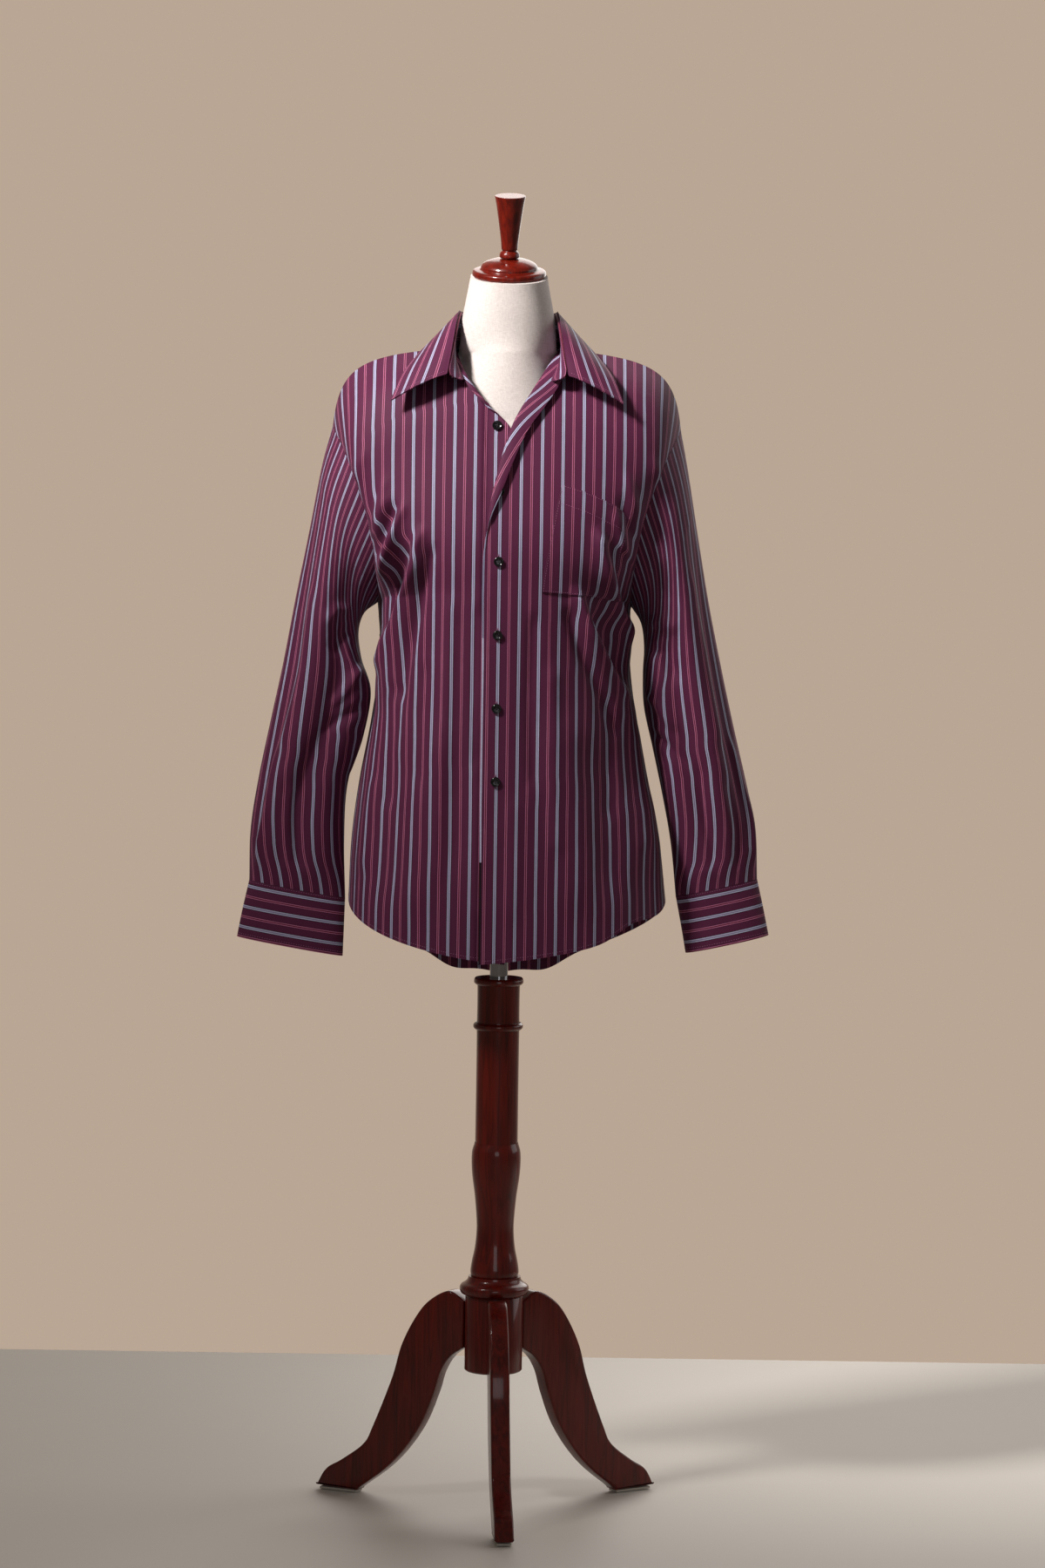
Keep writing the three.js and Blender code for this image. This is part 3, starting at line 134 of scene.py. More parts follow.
RING_COLUMNS = "x_in z_in x_out z_out y_mid front back"
SLEEVE_ROWS = {
    RIGHT: table(RING_COLUMNS, [
        (156, 1095, 211, 1300, 8, 70, 72), (170, 1083, 222, 1258, 8, 68, 70),
        (175, 1060, 236, 1180, 8, 66, 68), (171, 1030, 251, 1102, 8, 64, 66),
        (161, 992, 265, 1024, 8, 60, 62), (170, 938, 279, 956, 8, 54, 56), (186, 876, 293, 886, 8, 46, 48),
        (189, 810, 302, 824, 8, 36, 38), (187, 741, 303, 761, 8, 21, 21),
    ]),
    LEFT: table(RING_COLUMNS, [
        (156, 1094, 211, 1300, 8, 70, 72), (166, 1076, 219, 1258, 8, 68, 70),
        (169, 1048, 232, 1180, 8, 66, 68), (168, 1016, 246, 1102, 8, 64, 66),
        (170, 976, 263, 1022, 8, 60, 62), (181, 928, 279, 952, 8, 54, 56), (194, 870, 296, 882, 8, 46, 48),
        (205, 812, 307, 832, 8, 36, 38), (212, 749, 310, 771, 8, 24, 24),
    ]),
}
CUFF_ROWS = {
    RIGHT: table(RING_COLUMNS, [
        (187, 740.5, 303, 760.5, 8, 21, 21), (188, 704, 311, 724, 7, 18, 19), (189, 670, 317, 692, 6, 17, 19),
    ]),
    LEFT: table(RING_COLUMNS, [
        (212, 748.5, 310, 770.5, 8, 24, 24), (219, 713, 318, 736, 7, 22, 23), (225, 680, 325, 703, 6, 22, 24),
    ]),
}

# The collar from centre back to its front end: stand seam, stand fold, roll and free edge
COLLAR_ROWS = table("x y z tx ty tz rx ry rz ex ey ez", [
    (0, 67, 1402, 0, 63, 1437, 0, 76, 1439, 0, 97, 1394),
    (34, 59, 1403, 32, 55, 1440, 39, 65, 1441, 50, 84, 1396),
    (58, 34, 1404.5, 54, 32, 1444, 61, 38, 1442, 80, 52, 1401),
    (66, 2, 1404.3, 58, 0, 1446, 65, -2, 1440, 99, 6, 1401),
    (67, -34, 1396, 62, -40, 1430, 72, -42, 1426, 112, -38, 1388),
    (60, -62, 1381, 67, -70, 1402, 82, -76, 1399, 126, -72, 1368),
    (50, -82, 1363, 72, -90, 1373, 96, -99, 1367, 137, -93, 1341),
])

# Drape folds: depth (out of the body), width, then the path as x outward and z
FOLDS = {
    RIGHT: folds("""
        9 13  92,1190 108,1140 129,1050 150,965
        -7 12  112,1196 128,1130 141,1070
        7 11  118,1215 137,1168 150,1118
        4 22  70,980 92,860 104,710
        -4 20  118,940 136,820 140,735
        -3 18  48,1150 50,980 56,760
    """),
    LEFT: folds("""
        8 13  106,1190 118,1150 136,1080 150,1010
        8 13  80,1120 103,1058 122,1020 160,930
        -6 12  100,1120 124,1065 148,975
        4 22  66,990 84,860 98,720
        -4 20  104,960 126,840 134,740
        5 20  160,900 172,820 178,760
    """),
    "back": folds("""
        -11 16  120,1230 112,1120 104,960 98,700
        9 15  142,1180 138,1080 132,930 134,720
        7 17  84,1200 76,1080 72,900 70,680
        -6 15  40,1180 42,1040 44,860 40,670
        -7 13  -52,1190 -50,1040 -46,860 -52,670
        8 16  -80,1210 -84,1060 -82,900 -86,690
        -10 15  -116,1220 -114,1100 -108,930 -112,720
        8 15  -144,1170 -140,1080 -136,930 -146,740
    """),
}

# How deep creases are, and over what length the ends of folds and creases fade
CREASE_DEPTH = 1.6
FOLD_END, CREASE_END, SLEEVE_CREASE_END = 55, 24, 30

# Smaller creases on top of the folds, with the same columns
CREASES = {
    RIGHT: folds("""
        5.2 7  96,1200 110,1152 127,1092 146,1010
        -5.0 7  108,1176 124,1122 140,1056
        -3.6 7  84,1180 96,1120 112,1050 126,980
        4.4 6  118,1228 133,1182 146,1130
        -4.4 6  128,1226 143,1184 153,1150
        3.6 6  136,1240 148,1204 156,1172
        2.6 5  140,1256 150,1216 156,1190
        -1.8 8  30,1110 34,1000 30,900
        1.6 9  62,1120 66,1010 72,900 76,760
        -2.2 8  120,1010 132,930 138,850
        2.2 8  150,900 160,830 164,770
        1.3 9  22,900 26,820 24,720
        -1.6 7  92,1040 98,960 96,880
        1.8 6  166,1290 176,1262 180,1236
    """),
    LEFT: folds("""
        4.8 6  106,1200 119,1160 134,1110 148,1050
        -4.8 6  116,1184 131,1128 147,1076
        5.0 6  80,1130 104,1070 124,1030 150,980
        -3.6 7  72,1106 94,1044 118,996 140,940
        -3.0 6  96,1106 116,1060 140,1012
        2.4 5  124,1222 136,1190 148,1150
        -2.2 6  132,1236 146,1200 154,1172
        2.2 6  140,1266 150,1232 158,1200
        -1.8 8  36,1100 32,990 38,880
        1.6 9  58,1040 60,930 66,800
        -2.2 8  118,1000 128,920 132,840
        2.2 8  154,960 166,880 174,800
        1.3 9  14,880 18,800 14,720
        1.8 6  170,1286 180,1258 184,1236
    """),
    "back": folds("""
        3.4 6  124,1236 130,1160 124,1060 118,960
        -3.2 6  100,1180 94,1090 90,1000
        2.6 7  60,1190 58,1090 56,960 60,820
        -2.4 7  20,1200 24,1100 18,980
        2.2 8  4,1120 0,1010 6,880
        -2.6 7  -30,1180 -26,1070 -32,940
        2.8 6  -66,1216 -62,1110 -66,1000 -60,860
        -2.8 6  -98,1190 -98,1090 -94,980
        3.2 6  -128,1236 -130,1150 -124,1050 -126,950
        -2.4 8  -150,1120 -146,1020 -144,900
        -2.4 8  152,1110 148,1010 146,890
        1.8 10  90,860 92,760 88,690
        -1.8 10  -70,850 -68,760 -72,690
    """),
}

# Folds along a sleeve: depth, width and turn (0 underarm, 0.25 front, 0.5 outside, 0.75 back), from, to
SLEEVE_FOLDS = {
    RIGHT: [
        (-9, 0.05, (0.17, 0.2, 0.24), 0.08, 0.95), (5, 0.05, (0.28, 0.3, 0.33), 0.1, 0.98),
        (-7, 0.05, (0.4, 0.39, 0.42), 0.15, 0.9), (-8, 0.05, (0.7, 0.68, 0.66), 0.1, 0.95),
        (5, 0.05, (0.8, 0.78, 0.8), 0.12, 0.98), (5, 0.06, (0.08, 0.06, 0.03), 0.4, 0.72),
    ],
    LEFT: [
        (-8, 0.05, (0.2, 0.22, 0.2), 0.1, 0.95), (5, 0.05, (0.3, 0.31, 0.29), 0.1, 0.98),
        (-7, 0.05, (0.39, 0.4, 0.38), 0.2, 0.92), (-8, 0.05, (0.68, 0.7, 0.72), 0.1, 0.95),
        (5, 0.05, (0.79, 0.8, 0.82), 0.15, 0.98),
    ],
}

# Creases of a sleeve: depth, width, then the path as turn and length fraction
SLEEVE_CREASES = {
    RIGHT: folds("""
        2.6 6  0.12,0.2 0.2,0.27 0.27,0.38
        -2.6 7  0.1,0.26 0.18,0.34 0.24,0.44
        2.4 6  0.06,0.4 0.14,0.47 0.22,0.58
        -2.2 7  0.06,0.52 0.15,0.58 0.25,0.64
        2.0 7  0.34,0.3 0.33,0.5 0.36,0.7
        -2.2 6  0.24,0.62 0.26,0.8 0.24,0.97
        2.2 6  0.38,0.66 0.37,0.84 0.4,0.98
        -2.0 7  0.3,0.72 0.31,0.86 0.3,0.98
        2.6 6  0.88,0.2 0.78,0.3 0.7,0.42
        -2.6 7  0.92,0.34 0.82,0.44 0.74,0.52
        2.2 7  0.66,0.5 0.62,0.66 0.64,0.82
        -2.4 6  0.72,0.7 0.7,0.86 0.71,0.98
    """),
    LEFT: folds("""
        2.6 6  0.1,0.18 0.19,0.26 0.26,0.36
        -2.6 7  0.1,0.28 0.18,0.36 0.25,0.48
        2.4 6  0.05,0.44 0.13,0.5 0.2,0.6
        -2.2 7  0.04,0.56 0.14,0.62 0.22,0.7
        2.0 7  0.35,0.26 0.36,0.46 0.34,0.66
        -2.2 6  0.25,0.66 0.23,0.82 0.25,0.97
        2.2 6  0.42,0.62 0.44,0.82 0.42,0.98
        -2.0 7  0.33,0.7 0.34,0.86 0.33,0.98
        2.6 6  0.9,0.22 0.8,0.32 0.72,0.44
        -2.6 7  0.94,0.38 0.84,0.48 0.76,0.56
        2.2 7  0.64,0.46 0.63,0.64 0.66,0.82
        -2.4 6  0.74,0.68 0.72,0.84 0.73,0.98
    """),
}

ROLL = {
    RIGHT: dict(width=(0, 0, 0, 0, 0, 0, 0, 0, 0, 4, 6, 5), lift=3.2, open=4, lean=0.6),
    LEFT: dict(width=(0, 0, 0, 0, 0, 0, 3, 9, 17, 25, 25, 16), lift=5.1, open=9, lean=3.4),
}
HEM_DIP = dict(x=160, width=26, lift=12, fade=0.09)
TAIL = dict(x=58, width=27, drop=10, fade=0.14)
POCKET = dict(x_inner=66, x_outer=146, z_top=1246, z_top_outer=1216, lift=0.6, gape=3.4)
LEAF = dict(lift=2.15, start=0.75, cloth=1.8)
STAND_CLOTH = 2.0
STAND_END = dict(round=12, length=190, rise=0.42, shrink=0.72)
UNDERLAP_DEPTH = 3.4
PLACKET = dict(lift=1.5, cloth=1.1)
FRONT_BUTTON_Z = (1310, 1237, 1155, 1068, 981, 894)
BUTTON_X = -7.5
BUTTON_LIFT = 0.8

FORM_ROWS = table("z half front back slope", [
    (722, 150, -98, 104, 0), (728, 158, -104, 110, 0), (790, 166, -108, 114, 0), (860, 160, -106, 110, 0),
    (940, 140, -100, 96, 0), (1020, 122, -98, 84, 0), (1090, 126, -108, 88, 0), (1170, 142, -122, 98, 0),
    (1250, 150, -104, 104, 0), (1310, 164, -80, 92, 0), (1346, 163, -58, 72, 0), (1364, 150, -46, 60, 0),
    (1377, 129, -38, 52, 0), (1387, 93, -26, 42, 0), (1394, 64.5, -34, 43, 0.02),
    (1402, 56, -54, 46, 0.04), (1414, 56, -58, 47, 0.07), (1432, 55, -60, 45, 0.11),
    (1456, 52, -62, 42, 0.16), (1490, 46, -62, 32, 0.194),
])
NECK_FOOT = dict(z=1432, height=122, half=50, spread=43, reach=60, flare=13)
FORM_LEAN = math.radians(11)
NECK_SMOOTHING_PASSES = 70

# Turned profiles, radius and height
COLUMN_PROFILE = [
    (28.5, 283.3), (29.3, 290), (27.6, 302), (24.4, 318), (22.7, 336), (22.8, 352), (25.2, 380), (28.6, 405),
    (29.8, 423), (29.2, 436), (26.4, 446), (25.8, 452), (25.8, 583), (27.6, 584), (29.9, 586.5), (29.9, 590),
    (27.6, 592.5), (25.8, 594), (25.8, 637), (27.4, 638.5), (29.8, 641), (29.8, 644.5), (28.4, 647),
]
BASE_RING_PROFILE = [
    (36, 260.3), (40.5, 263), (42, 268), (40.6, 272.5), (35.4, 276), (32.4, 279.5), (31.6, 283),
]
CAP_PROFILE = [
    (43, 0.4), (44, 2.4), (43.6, 6.2), (41, 8), (34.6, 9.4), (33.6, 12.6), (30, 16.4), (20, 20.4), (8, 22.2),
]
FINIAL_PROFILE = [
    (7.5, 22.6), (11.4, 23.4), (11.9, 26.4), (10.6, 29.6), (8.6, 31.6), (9.8, 34), (10.6, 44), (13.2, 64),
    (16.4, 86), (18.3, 96), (18, 97.6),
]
SCREW_PROFILE = [(3, 26.1), (3, 32), (8.5, 33), (9, 36), (9, 41), (7.5, 42.6)]
SCREW_HEIGHT = 616
POLE_PROFILE = [(11, 350), (11, 712.7)]
POLE_BORE = 11.4
HUB_PROFILE = [(33, 167), (35, 169), (35, 258), (33.6, 260)]
LEG_TOP = [
    (35.4, 250), (56, 261), (82, 248), (101, 226), (120, 190), (133, 147), (158, 86), (171, 62), (200, 40),
    (222, 26), (235, 5),
]
LEG_UNDER = [(179, 3), (174, 8), (141, 33), (115, 60), (92, 94), (76, 132), (67, 160), (54, 180), (35.4, 193)]
LEG_THICKNESS, LEG_BEVEL, LEG_TURN = 23, 3, 4

# The camera: focal length, frame height and aim to one side in pixels, then its place, fall and roll
FOCAL_PIXELS, FRAME_PIXELS, AIM_PIXELS = 6830, 1800, 24
CAMERA_PLACE = (0, -7140, 1470)
CAMERA_FALL = 0.0824
CAMERA_ROLL = math.radians(0.86)


# Small mathematics on arrays

def smooth(low, high, value):
    t = np.clip((np.asarray(value, float) - low) / (high - low), 0, 1)
    return t * t * (3 - 2 * t)


def squarish(value, power=0.88):
    """Keeps the sign and swells a circle's cosine or sine towards a rounded square."""
    return np.sign(value) * np.abs(value) ** power


def sided(side, name):
    return ("right_" if side == RIGHT else "left_") + name


def unit(vectors):
    return vectors / np.maximum(np.linalg.norm(vectors, axis=-1, keepdims=True), 1e-12)


def points(x, y, z):
    return np.stack(np.broadcast_arrays(np.asarray(x, float), y, z), axis=-1)


def spread(*values):
    """The same values as float arrays of one shape."""
    return np.broadcast_arrays(*(np.asarray(value, float) for value in values))


def cubic(before, start, end, after, t):
    a = 2 * start
    b = (end - before) * t
    c = (2 * before - 5 * start + 4 * end - after) * t * t
    d = (3 * start - before - 3 * end + after) * t * t * t
    return (a + b + c + d) / 2


def track(values, v):
    """A smooth value down a column, with v from its first row (0) to its last (1)."""
    values = np.asarray(values, float)
    last = len(values) - 1
    place_on = np.clip(np.asarray(v, float), 0, 1) * last
    i = np.minimum(place_on.astype(int), last - 1)
    start, end = values[i], values[i + 1]
    before = np.where(i > 0, values[np.maximum(i - 1, 0)], 2 * start - end)
    after = np.where(i < last - 1, values[np.minimum(i + 2, last)], 2 * end - start)
    return cubic(before, start, end, after, place_on - i)


def tracks(rows, columns, v):
    return [track(rows[column], v) for column in columns.split()]


def track_points(rows, columns, v, side=1, widen=0):
    """Points down three columns of a table, with x outward on the given side."""
    x, y, z = tracks(rows, columns, v)
    return points(side * (x + widen), y, z)


def loop_track(values, turn):
    count = len(values)
    place_on = np.mod(np.asarray(turn, float), 1) * count
    i = np.floor(place_on).astype(int)
    read = [values[(i + offset) % count] for offset in (-1, 0, 1, 2)]
    return cubic(*read, place_on - i)


def facing(normal, outward):
    """Turns each normal to the side that outward points to."""
    return np.where(((normal * outward).sum(-1) < 0)[..., None], -normal, normal)


def conic(inner, corner, outer, weight, u):
    u = np.asarray(u, float)
    a, b, c = (1 - u) ** 2, 2 * weight * u * (1 - u), u * u
    total = (a + b + c)[..., None]
    return (a[..., None] * inner + b[..., None] * corner + c[..., None] * outer) / total


def path_distance(path, x, z):
    """The distance of each place to a polyline, how far along it lies, and the whole length."""
    gap, along, walked = np.full(np.shape(x), np.inf), np.zeros(np.shape(x)), 0.0
    for (x0, z0), (x1, z1) in zip(path, path[1:]):
        length = math.hypot(x1 - x0, z1 - z0)
        t = np.clip(((x - x0) * (x1 - x0) + (z - z0) * (z1 - z0)) / length ** 2, 0, 1)
        here = np.hypot(x - (x0 + (x1 - x0) * t), z - (z0 + (z1 - z0) * t))
        along = np.where(here < gap, walked + t * length, along)
        gap = np.minimum(gap, here)
        walked += length
    return gap, along, walked


def fold_depth(rows, x, z, end=FOLD_END):
    depth = np.zeros(np.shape(x))
    for push, width, path in rows:
        gap, along, length = path_distance(path, x, z)
        fade = smooth(-1, min(end, length / 2), np.minimum(along, length - along))
        depth += push * fade * np.exp(-((gap / width) ** 2))
    return depth


# The surfaces of the shirt

def armhole_point(side, turn):
    x, y, z = (loop_track(ARMHOLE[key], turn) for key in "xyz")
    return points(side * x, y, z)


def sided_x(side):
    return "x_right" if side == RIGHT else "x_left"


def side_seam_point(side, v):
    return track_points(SIDE_SEAM, sided_x(side) + " y z", v, side)


def front_base(side, u, v):
    u, v = spread(u, v)
    rows = FRONT_ROWS
    inner = track_points(rows, sided_x(side) + " y z", v, side)
    widen = 10 * (1 - smooth(0, FRONT_UNDERARM, v)) if side == LEFT else 0
    corner = track_points(rows, "x_cor y_cor z_cor", v, side, widen)
    low = side_seam_point(side, v / FRONT_UNDERARM)
    high = armhole_point(side, SHOULDER_TIP * np.clip((v - FRONT_UNDERARM) / (1 - FRONT_UNDERARM), 0, 1))
    outer = np.where((v <= FRONT_UNDERARM)[..., None], low, high)
    base = conic(inner, corner, outer, track(rows["w"], v), u)
    if side == LEFT:
        near = np.exp(-(((base[..., 0] - HEM_DIP["x"]) / HEM_DIP["width"]) ** 2))
        base[..., 2] += HEM_DIP["lift"] * near * smooth(HEM_DIP["fade"], 0, v) * smooth(0, 0.08, 1 - u)
    return base


def back_base(u, v):
    u, v = spread(u, v)
    rows = BACK_ROWS
    side = np.where(u < 0, RIGHT, LEFT)
    inner = points(0 * v, track(rows["y"], v), track(rows["z"], v))
    widen = np.where(u < 0, 0, 12 * (1 - smooth(0, BACK_UNDERARM, v)))
    corner = track_points(rows, "x_cor y_cor z_cor", v, side, widen)
    turn = 1 - (1 - YOKE_END) * np.clip((v - BACK_UNDERARM) / (1 - BACK_UNDERARM), 0, 1)
    below = (v <= BACK_UNDERARM)[..., None]
    right, left = (
        np.where(below, side_seam_point(half, v / BACK_UNDERARM), armhole_point(half, turn))
        for half in (RIGHT, LEFT)
    )
    base = conic(inner, corner, np.where((u < 0)[..., None], right, left), track(rows["w"], v), np.abs(u))
    near = np.exp(-(((np.abs(base[..., 0]) - TAIL["x"]) / TAIL["width"]) ** 2))
    base[..., 2] -= TAIL["drop"] * near * smooth(TAIL["fade"], 0, v)
    return base


def surface_normal(surface, u, v, outward, e=1e-3):
    across = surface(u + e, v) - surface(u - e, v)
    up = surface(u, np.minimum(v + e, 1)) - surface(u, np.maximum(v - e, 0))
    return facing(unit(np.cross(across, up)), outward)


def front_surface(side, u, v):
    u, v = spread(u, v)
    base = lambda a, b: front_base(side, a, b)
    place_on = base(u, v)
    normal = surface_normal(base, u, v, np.array([side * 0.3, -1, 0.2]))
    x, z = side * place_on[..., 0], place_on[..., 2]
    push = fold_depth(FOLDS[side], x, z) * smooth(0, 0.1, 1 - u) * smooth(1, 0.93, v)
    seams = smooth(0, 0.03, 1 - u) * smooth(1, 0.96, v)
    push = push + CREASE_DEPTH * fold_depth(CREASES[side], x, z, CREASE_END) * seams
    if side == RIGHT:
        push = push - UNDERLAP_DEPTH * smooth(-30, -23, place_on[..., 0]) * smooth(1, 0.9, v)
    return place_on + normal * push[..., None], normal


def back_surface(u, v):
    u, v = spread(u, v)
    place_on = back_base(u, v)
    outward = points(u * 0.3, 1, 0)
    normal = surface_normal(back_base, u, v, outward)
    x, z = place_on[..., 0], place_on[..., 2]
    push = fold_depth(FOLDS["back"], x, z) * smooth(0, 0.1, 1 - np.abs(u)) * smooth(1, 0.9, v)
    seams = smooth(0, 0.04, 1 - np.abs(u)) * smooth(1, 0.93, v)
    push = push + CREASE_DEPTH * fold_depth(CREASES["back"], x, z, CREASE_END) * seams
    return place_on + normal * push[..., None], normal


YOKE_NECK = 5 / 17


def yoke_point(u, v):
    u, v = spread(u, v)
    across = np.abs(u)
    side = np.where(u < 0, RIGHT, LEFT)
    low = back_base(u, np.ones_like(u))
    neck_share = np.clip(across / YOKE_NECK, 0, 1) / 2
    neck = track_points(COLLAR_ROWS, "x y z", neck_share, side) - np.array([0, 0, SEAM_GAP])
    seam_share = np.clip((across - YOKE_NECK) / (1 - YOKE_NECK), 0, 1)
    shoulder = front_base(LEFT, seam_share, np.ones_like(u)) * points(side, 1, 1)
    top = np.where((across < YOKE_NECK)[..., None], neck, shoulder)
    edge = armhole_point(LEFT, YOKE_END + (SHOULDER_TIP - YOKE_END) * v) * points(side, 1, 1)
    crown = points(
        (low[..., 0] + top[..., 0]) / 2,
        low[..., 1] + (top[..., 1] - low[..., 1]) * 0.14,
        low[..., 2] + (top[..., 2] - low[..., 2]) * 0.72,
    )
    surface = conic(low, crown, top, 1, v)
    return surface + (edge - surface) * smooth(0.82, 1, across)[..., None]


def ring_point(rows, side, turn, v):
    turn, v = spread(turn, v)
    angle = 2 * np.pi * turn
    forward = np.sin(angle)
    across = (1 - squarish(np.cos(angle), 0.9)) / 2
    x_in, z_in, x_out, z_out, y_mid, front, back = tracks(rows, RING_COLUMNS, v)
    reach = np.where(forward > 0, -front, back)
    return points(
        side * (x_in + (x_out - x_in) * across),
        y_mid + reach * np.abs(forward) ** 0.9,
        z_in + (z_out - z_in) * across,
    )


SLEEVE_GIRTH, SLEEVE_LENGTH = 330, 560


def sleeve_point(side, turn, v):
    turn, v = spread(turn, v)
    rows = SLEEVE_ROWS[side]
    place_on = ring_point(rows, side, turn, v)
    hold = (1 - np.clip(v / 0.3, 0, 1)) ** 2
    place_on = place_on + (armhole_point(side, turn) - ring_point(rows, side, turn, 0 * v)) * hold[..., None]
    middle = side * (track(rows["x_in"], v) + track(rows["x_out"], v)) / 2
    away = unit(points(place_on[..., 0] - middle, place_on[..., 1] - track(rows["y_mid"], v), 0))
    depth = np.zeros(np.shape(turn))
    for push, width, turns, start, stop in SLEEVE_FOLDS[side]:
        along = np.clip((v - start) / (stop - start), 0, 1)
        gap = np.abs(turn - track(turns, along))
        near = np.minimum(gap, 1 - gap) / width
        depth += push * np.sin(np.pi * along) ** 0.6 * np.exp(-near * near)
    for push, width, path in SLEEVE_CREASES[side]:
        flat = [(a * SLEEVE_GIRTH, b * SLEEVE_LENGTH) for a, b in path]
        crease = [(push, width, flat)]
        depth += CREASE_DEPTH * fold_depth(crease, turn * SLEEVE_GIRTH, v * SLEEVE_LENGTH, SLEEVE_CREASE_END)
    return place_on + away * depth[..., None]


def sleeve_outward(side, grid, vs):
    rows = SLEEVE_ROWS[side]
    middle = side * (track(rows["x_in"], vs) + track(rows["x_out"], vs))[:, None] / 2
    return points(grid[..., 0] - middle, grid[..., 1] - 8, 0)


CUFF = dict(start=0.8, lap=0.08, girth=262, height=70, round=13, lift=2.8, cloth=2.2)


def cuff_outward(side, place_on):
    rows = CUFF_ROWS[side]
    middle = side * (rows["x_in"][1] + rows["x_out"][1]) / 2
    return unit(points((place_on[..., 0] - middle) * 0.1, place_on[..., 1] - rows["y_mid"][1], 0))


def cuff_point(side, share, v):
    share, v = spread(share, v)
    span = 1 + CUFF["lap"]
    end = np.minimum(share, 1 - share) * CUFF["girth"] * span
    short = np.maximum(0, CUFF["round"] - end)
    lift = CUFF["round"] - np.sqrt(CUFF["round"] ** 2 - short ** 2)
    around = CUFF["start"] + share * span
    place_on = ring_point(CUFF_ROWS[side], side, around, v * (1 - lift / CUFF["height"]))
    return place_on + cuff_outward(side, place_on) * (CUFF["lift"] * smooth(0.72, 0.97, share))[..., None]


def collar_point(place_on, columns):
    side = np.where(place_on < 0, RIGHT, LEFT)
    return track_points(COLLAR_ROWS, columns, np.abs(place_on), side)


def stand_point(place_on, v):
    place_on, v = spread(place_on, v)
    low = collar_point(place_on, "x y z") + np.array([0, 0, SEAM_GAP])
    high = collar_point(place_on, "tx ty tz")
    cut = np.maximum(0, STAND_END["round"] - (1 - np.abs(place_on)) * STAND_END["length"])
    taper = 1 - np.sqrt(np.maximum(0, 1 - (cut / STAND_END["round"]) ** 2))
    share = STAND_END["rise"] * taper + (1 - STAND_END["shrink"] * taper) * v
    return low + (high - low) * share[..., None]


def leaf_point(place_on, v):
    place_on, v = spread(place_on, v)
    fold, roll, edge = (collar_point(place_on, columns) for columns in ("tx ty tz", "rx ry rz", "ex ey ez"))
    return conic(fold, roll, edge, 1, v)


# Meshes

def place(mm):
    return np.asarray(mm, float) / 1000 + AXIS


def new_object(name, vertices, faces, material, uv=None, sharp=40):
    mesh = bpy.data.meshes.new(name)
    mesh.from_pydata([tuple(p) for p in vertices], [], faces)
    mesh.polygons.foreach_set("use_smooth", [True] * len(mesh.polygons))
    if uv is not None:
        layer = mesh.uv_layers.new(name="Cloth")
        layer.data.foreach_set("uv", np.asarray(uv, float).ravel())
    mesh.set_sharp_from_angle(angle=math.radians(sharp))
    mesh.materials.append(material)
    thing = bpy.data.objects.new(name, mesh)
    bpy.context.scene.collection.objects.link(thing)
    return thing


def grid_faces(rows, columns, ring):
    last = columns if ring else columns - 1
    j, i = np.meshgrid(np.arange(rows - 1), np.arange(last), indexing="ij")
    a = j * columns + i
    b = j * columns + (i + 1) % columns
    faces = np.stack([a, b, b + columns, a + columns], -1).reshape(-1, 4)
    corners = np.stack([j, i, j, i + 1, j + 1, i + 1, j + 1, i], -1).reshape(-1, 4, 2)
    return faces, corners


def wall(name, outer, inner, cloth, ring=False):
    """A closed wall between two grids of points, with its cloth coordinates in metres as the UV map."""
    rows, columns = outer.shape[:2]
    skin = rows * columns
    faces, corners = grid_faces(rows, columns, ring)
    all_faces = [faces, faces[:, ::-1] + skin]
    all_corners = [corners, corners[:, ::-1]]
    last = columns if ring else columns - 1
    i, j = np.arange(last + 1), np.arange(rows)
    low, high = np.stack([0 * i, i], -1), np.stack([0 * i + rows - 1, i], -1)[::-1]
    left, right = np.stack([j, 0 * j], -1)[::-1], np.stack([j, 0 * j + last], -1)
    for rim in [low, high] if ring else [np.concatenate([low, right[1:], high[1:], left[1:]])]:
        vertex = rim[:, 0] * columns + rim[:, 1] % columns
        a, b = vertex[:-1], vertex[1:]
        all_faces.append(np.stack([b, a, a + skin, b + skin], -1))
        all_corners.append(np.stack([rim[1:], rim[:-1], rim[:-1], rim[1:]], 1))
    faces, corners = np.concatenate(all_faces), np.concatenate(all_corners)
    vertices = place(np.concatenate([outer.reshape(-1, 3), inner.reshape(-1, 3)]))
    a, b, c, d = (vertices[faces[:, k]] for k in range(4))
    volume = (np.cross(a, b) * c).sum() + (np.cross(a, c) * d).sum()
    if volume < 0:
        faces, corners = faces[:, ::-1], corners[:, ::-1]
    uv = cloth[corners[..., 0], corners[..., 1]] / 1000
    return new_object(name + "_cloth", vertices, faces.tolist(), POPLIN, uv)


def grid_normals(grid, outward, ring=False):
    if ring:
        wide = np.concatenate([grid[:, -1:], grid, grid[:, :1]], 1)
        across = wide[:, 2:] - wide[:, :-2]
    else:
        across = np.gradient(grid, axis=1)
    return facing(unit(np.cross(across, np.gradient(grid, axis=0))), outward)


def across_length(grid, rise=1.0):
    """The length of cloth along each row of a grid. Rise is the share of Z that counts."""
    step = np.diff(grid, axis=1)
    length = np.sqrt(step[..., 0] ** 2 + step[..., 1] ** 2 + rise * step[..., 2] ** 2)
    return np.concatenate([np.zeros((len(grid), 1)), np.cumsum(length, axis=1)], 1)


def up_length(grid):
    length = np.linalg.norm(np.diff(grid, axis=0), axis=-1).mean(axis=1)
    return np.concatenate([[0], np.cumsum(length)])[:, None] * np.ones((1, grid.shape[1]))


# Materials

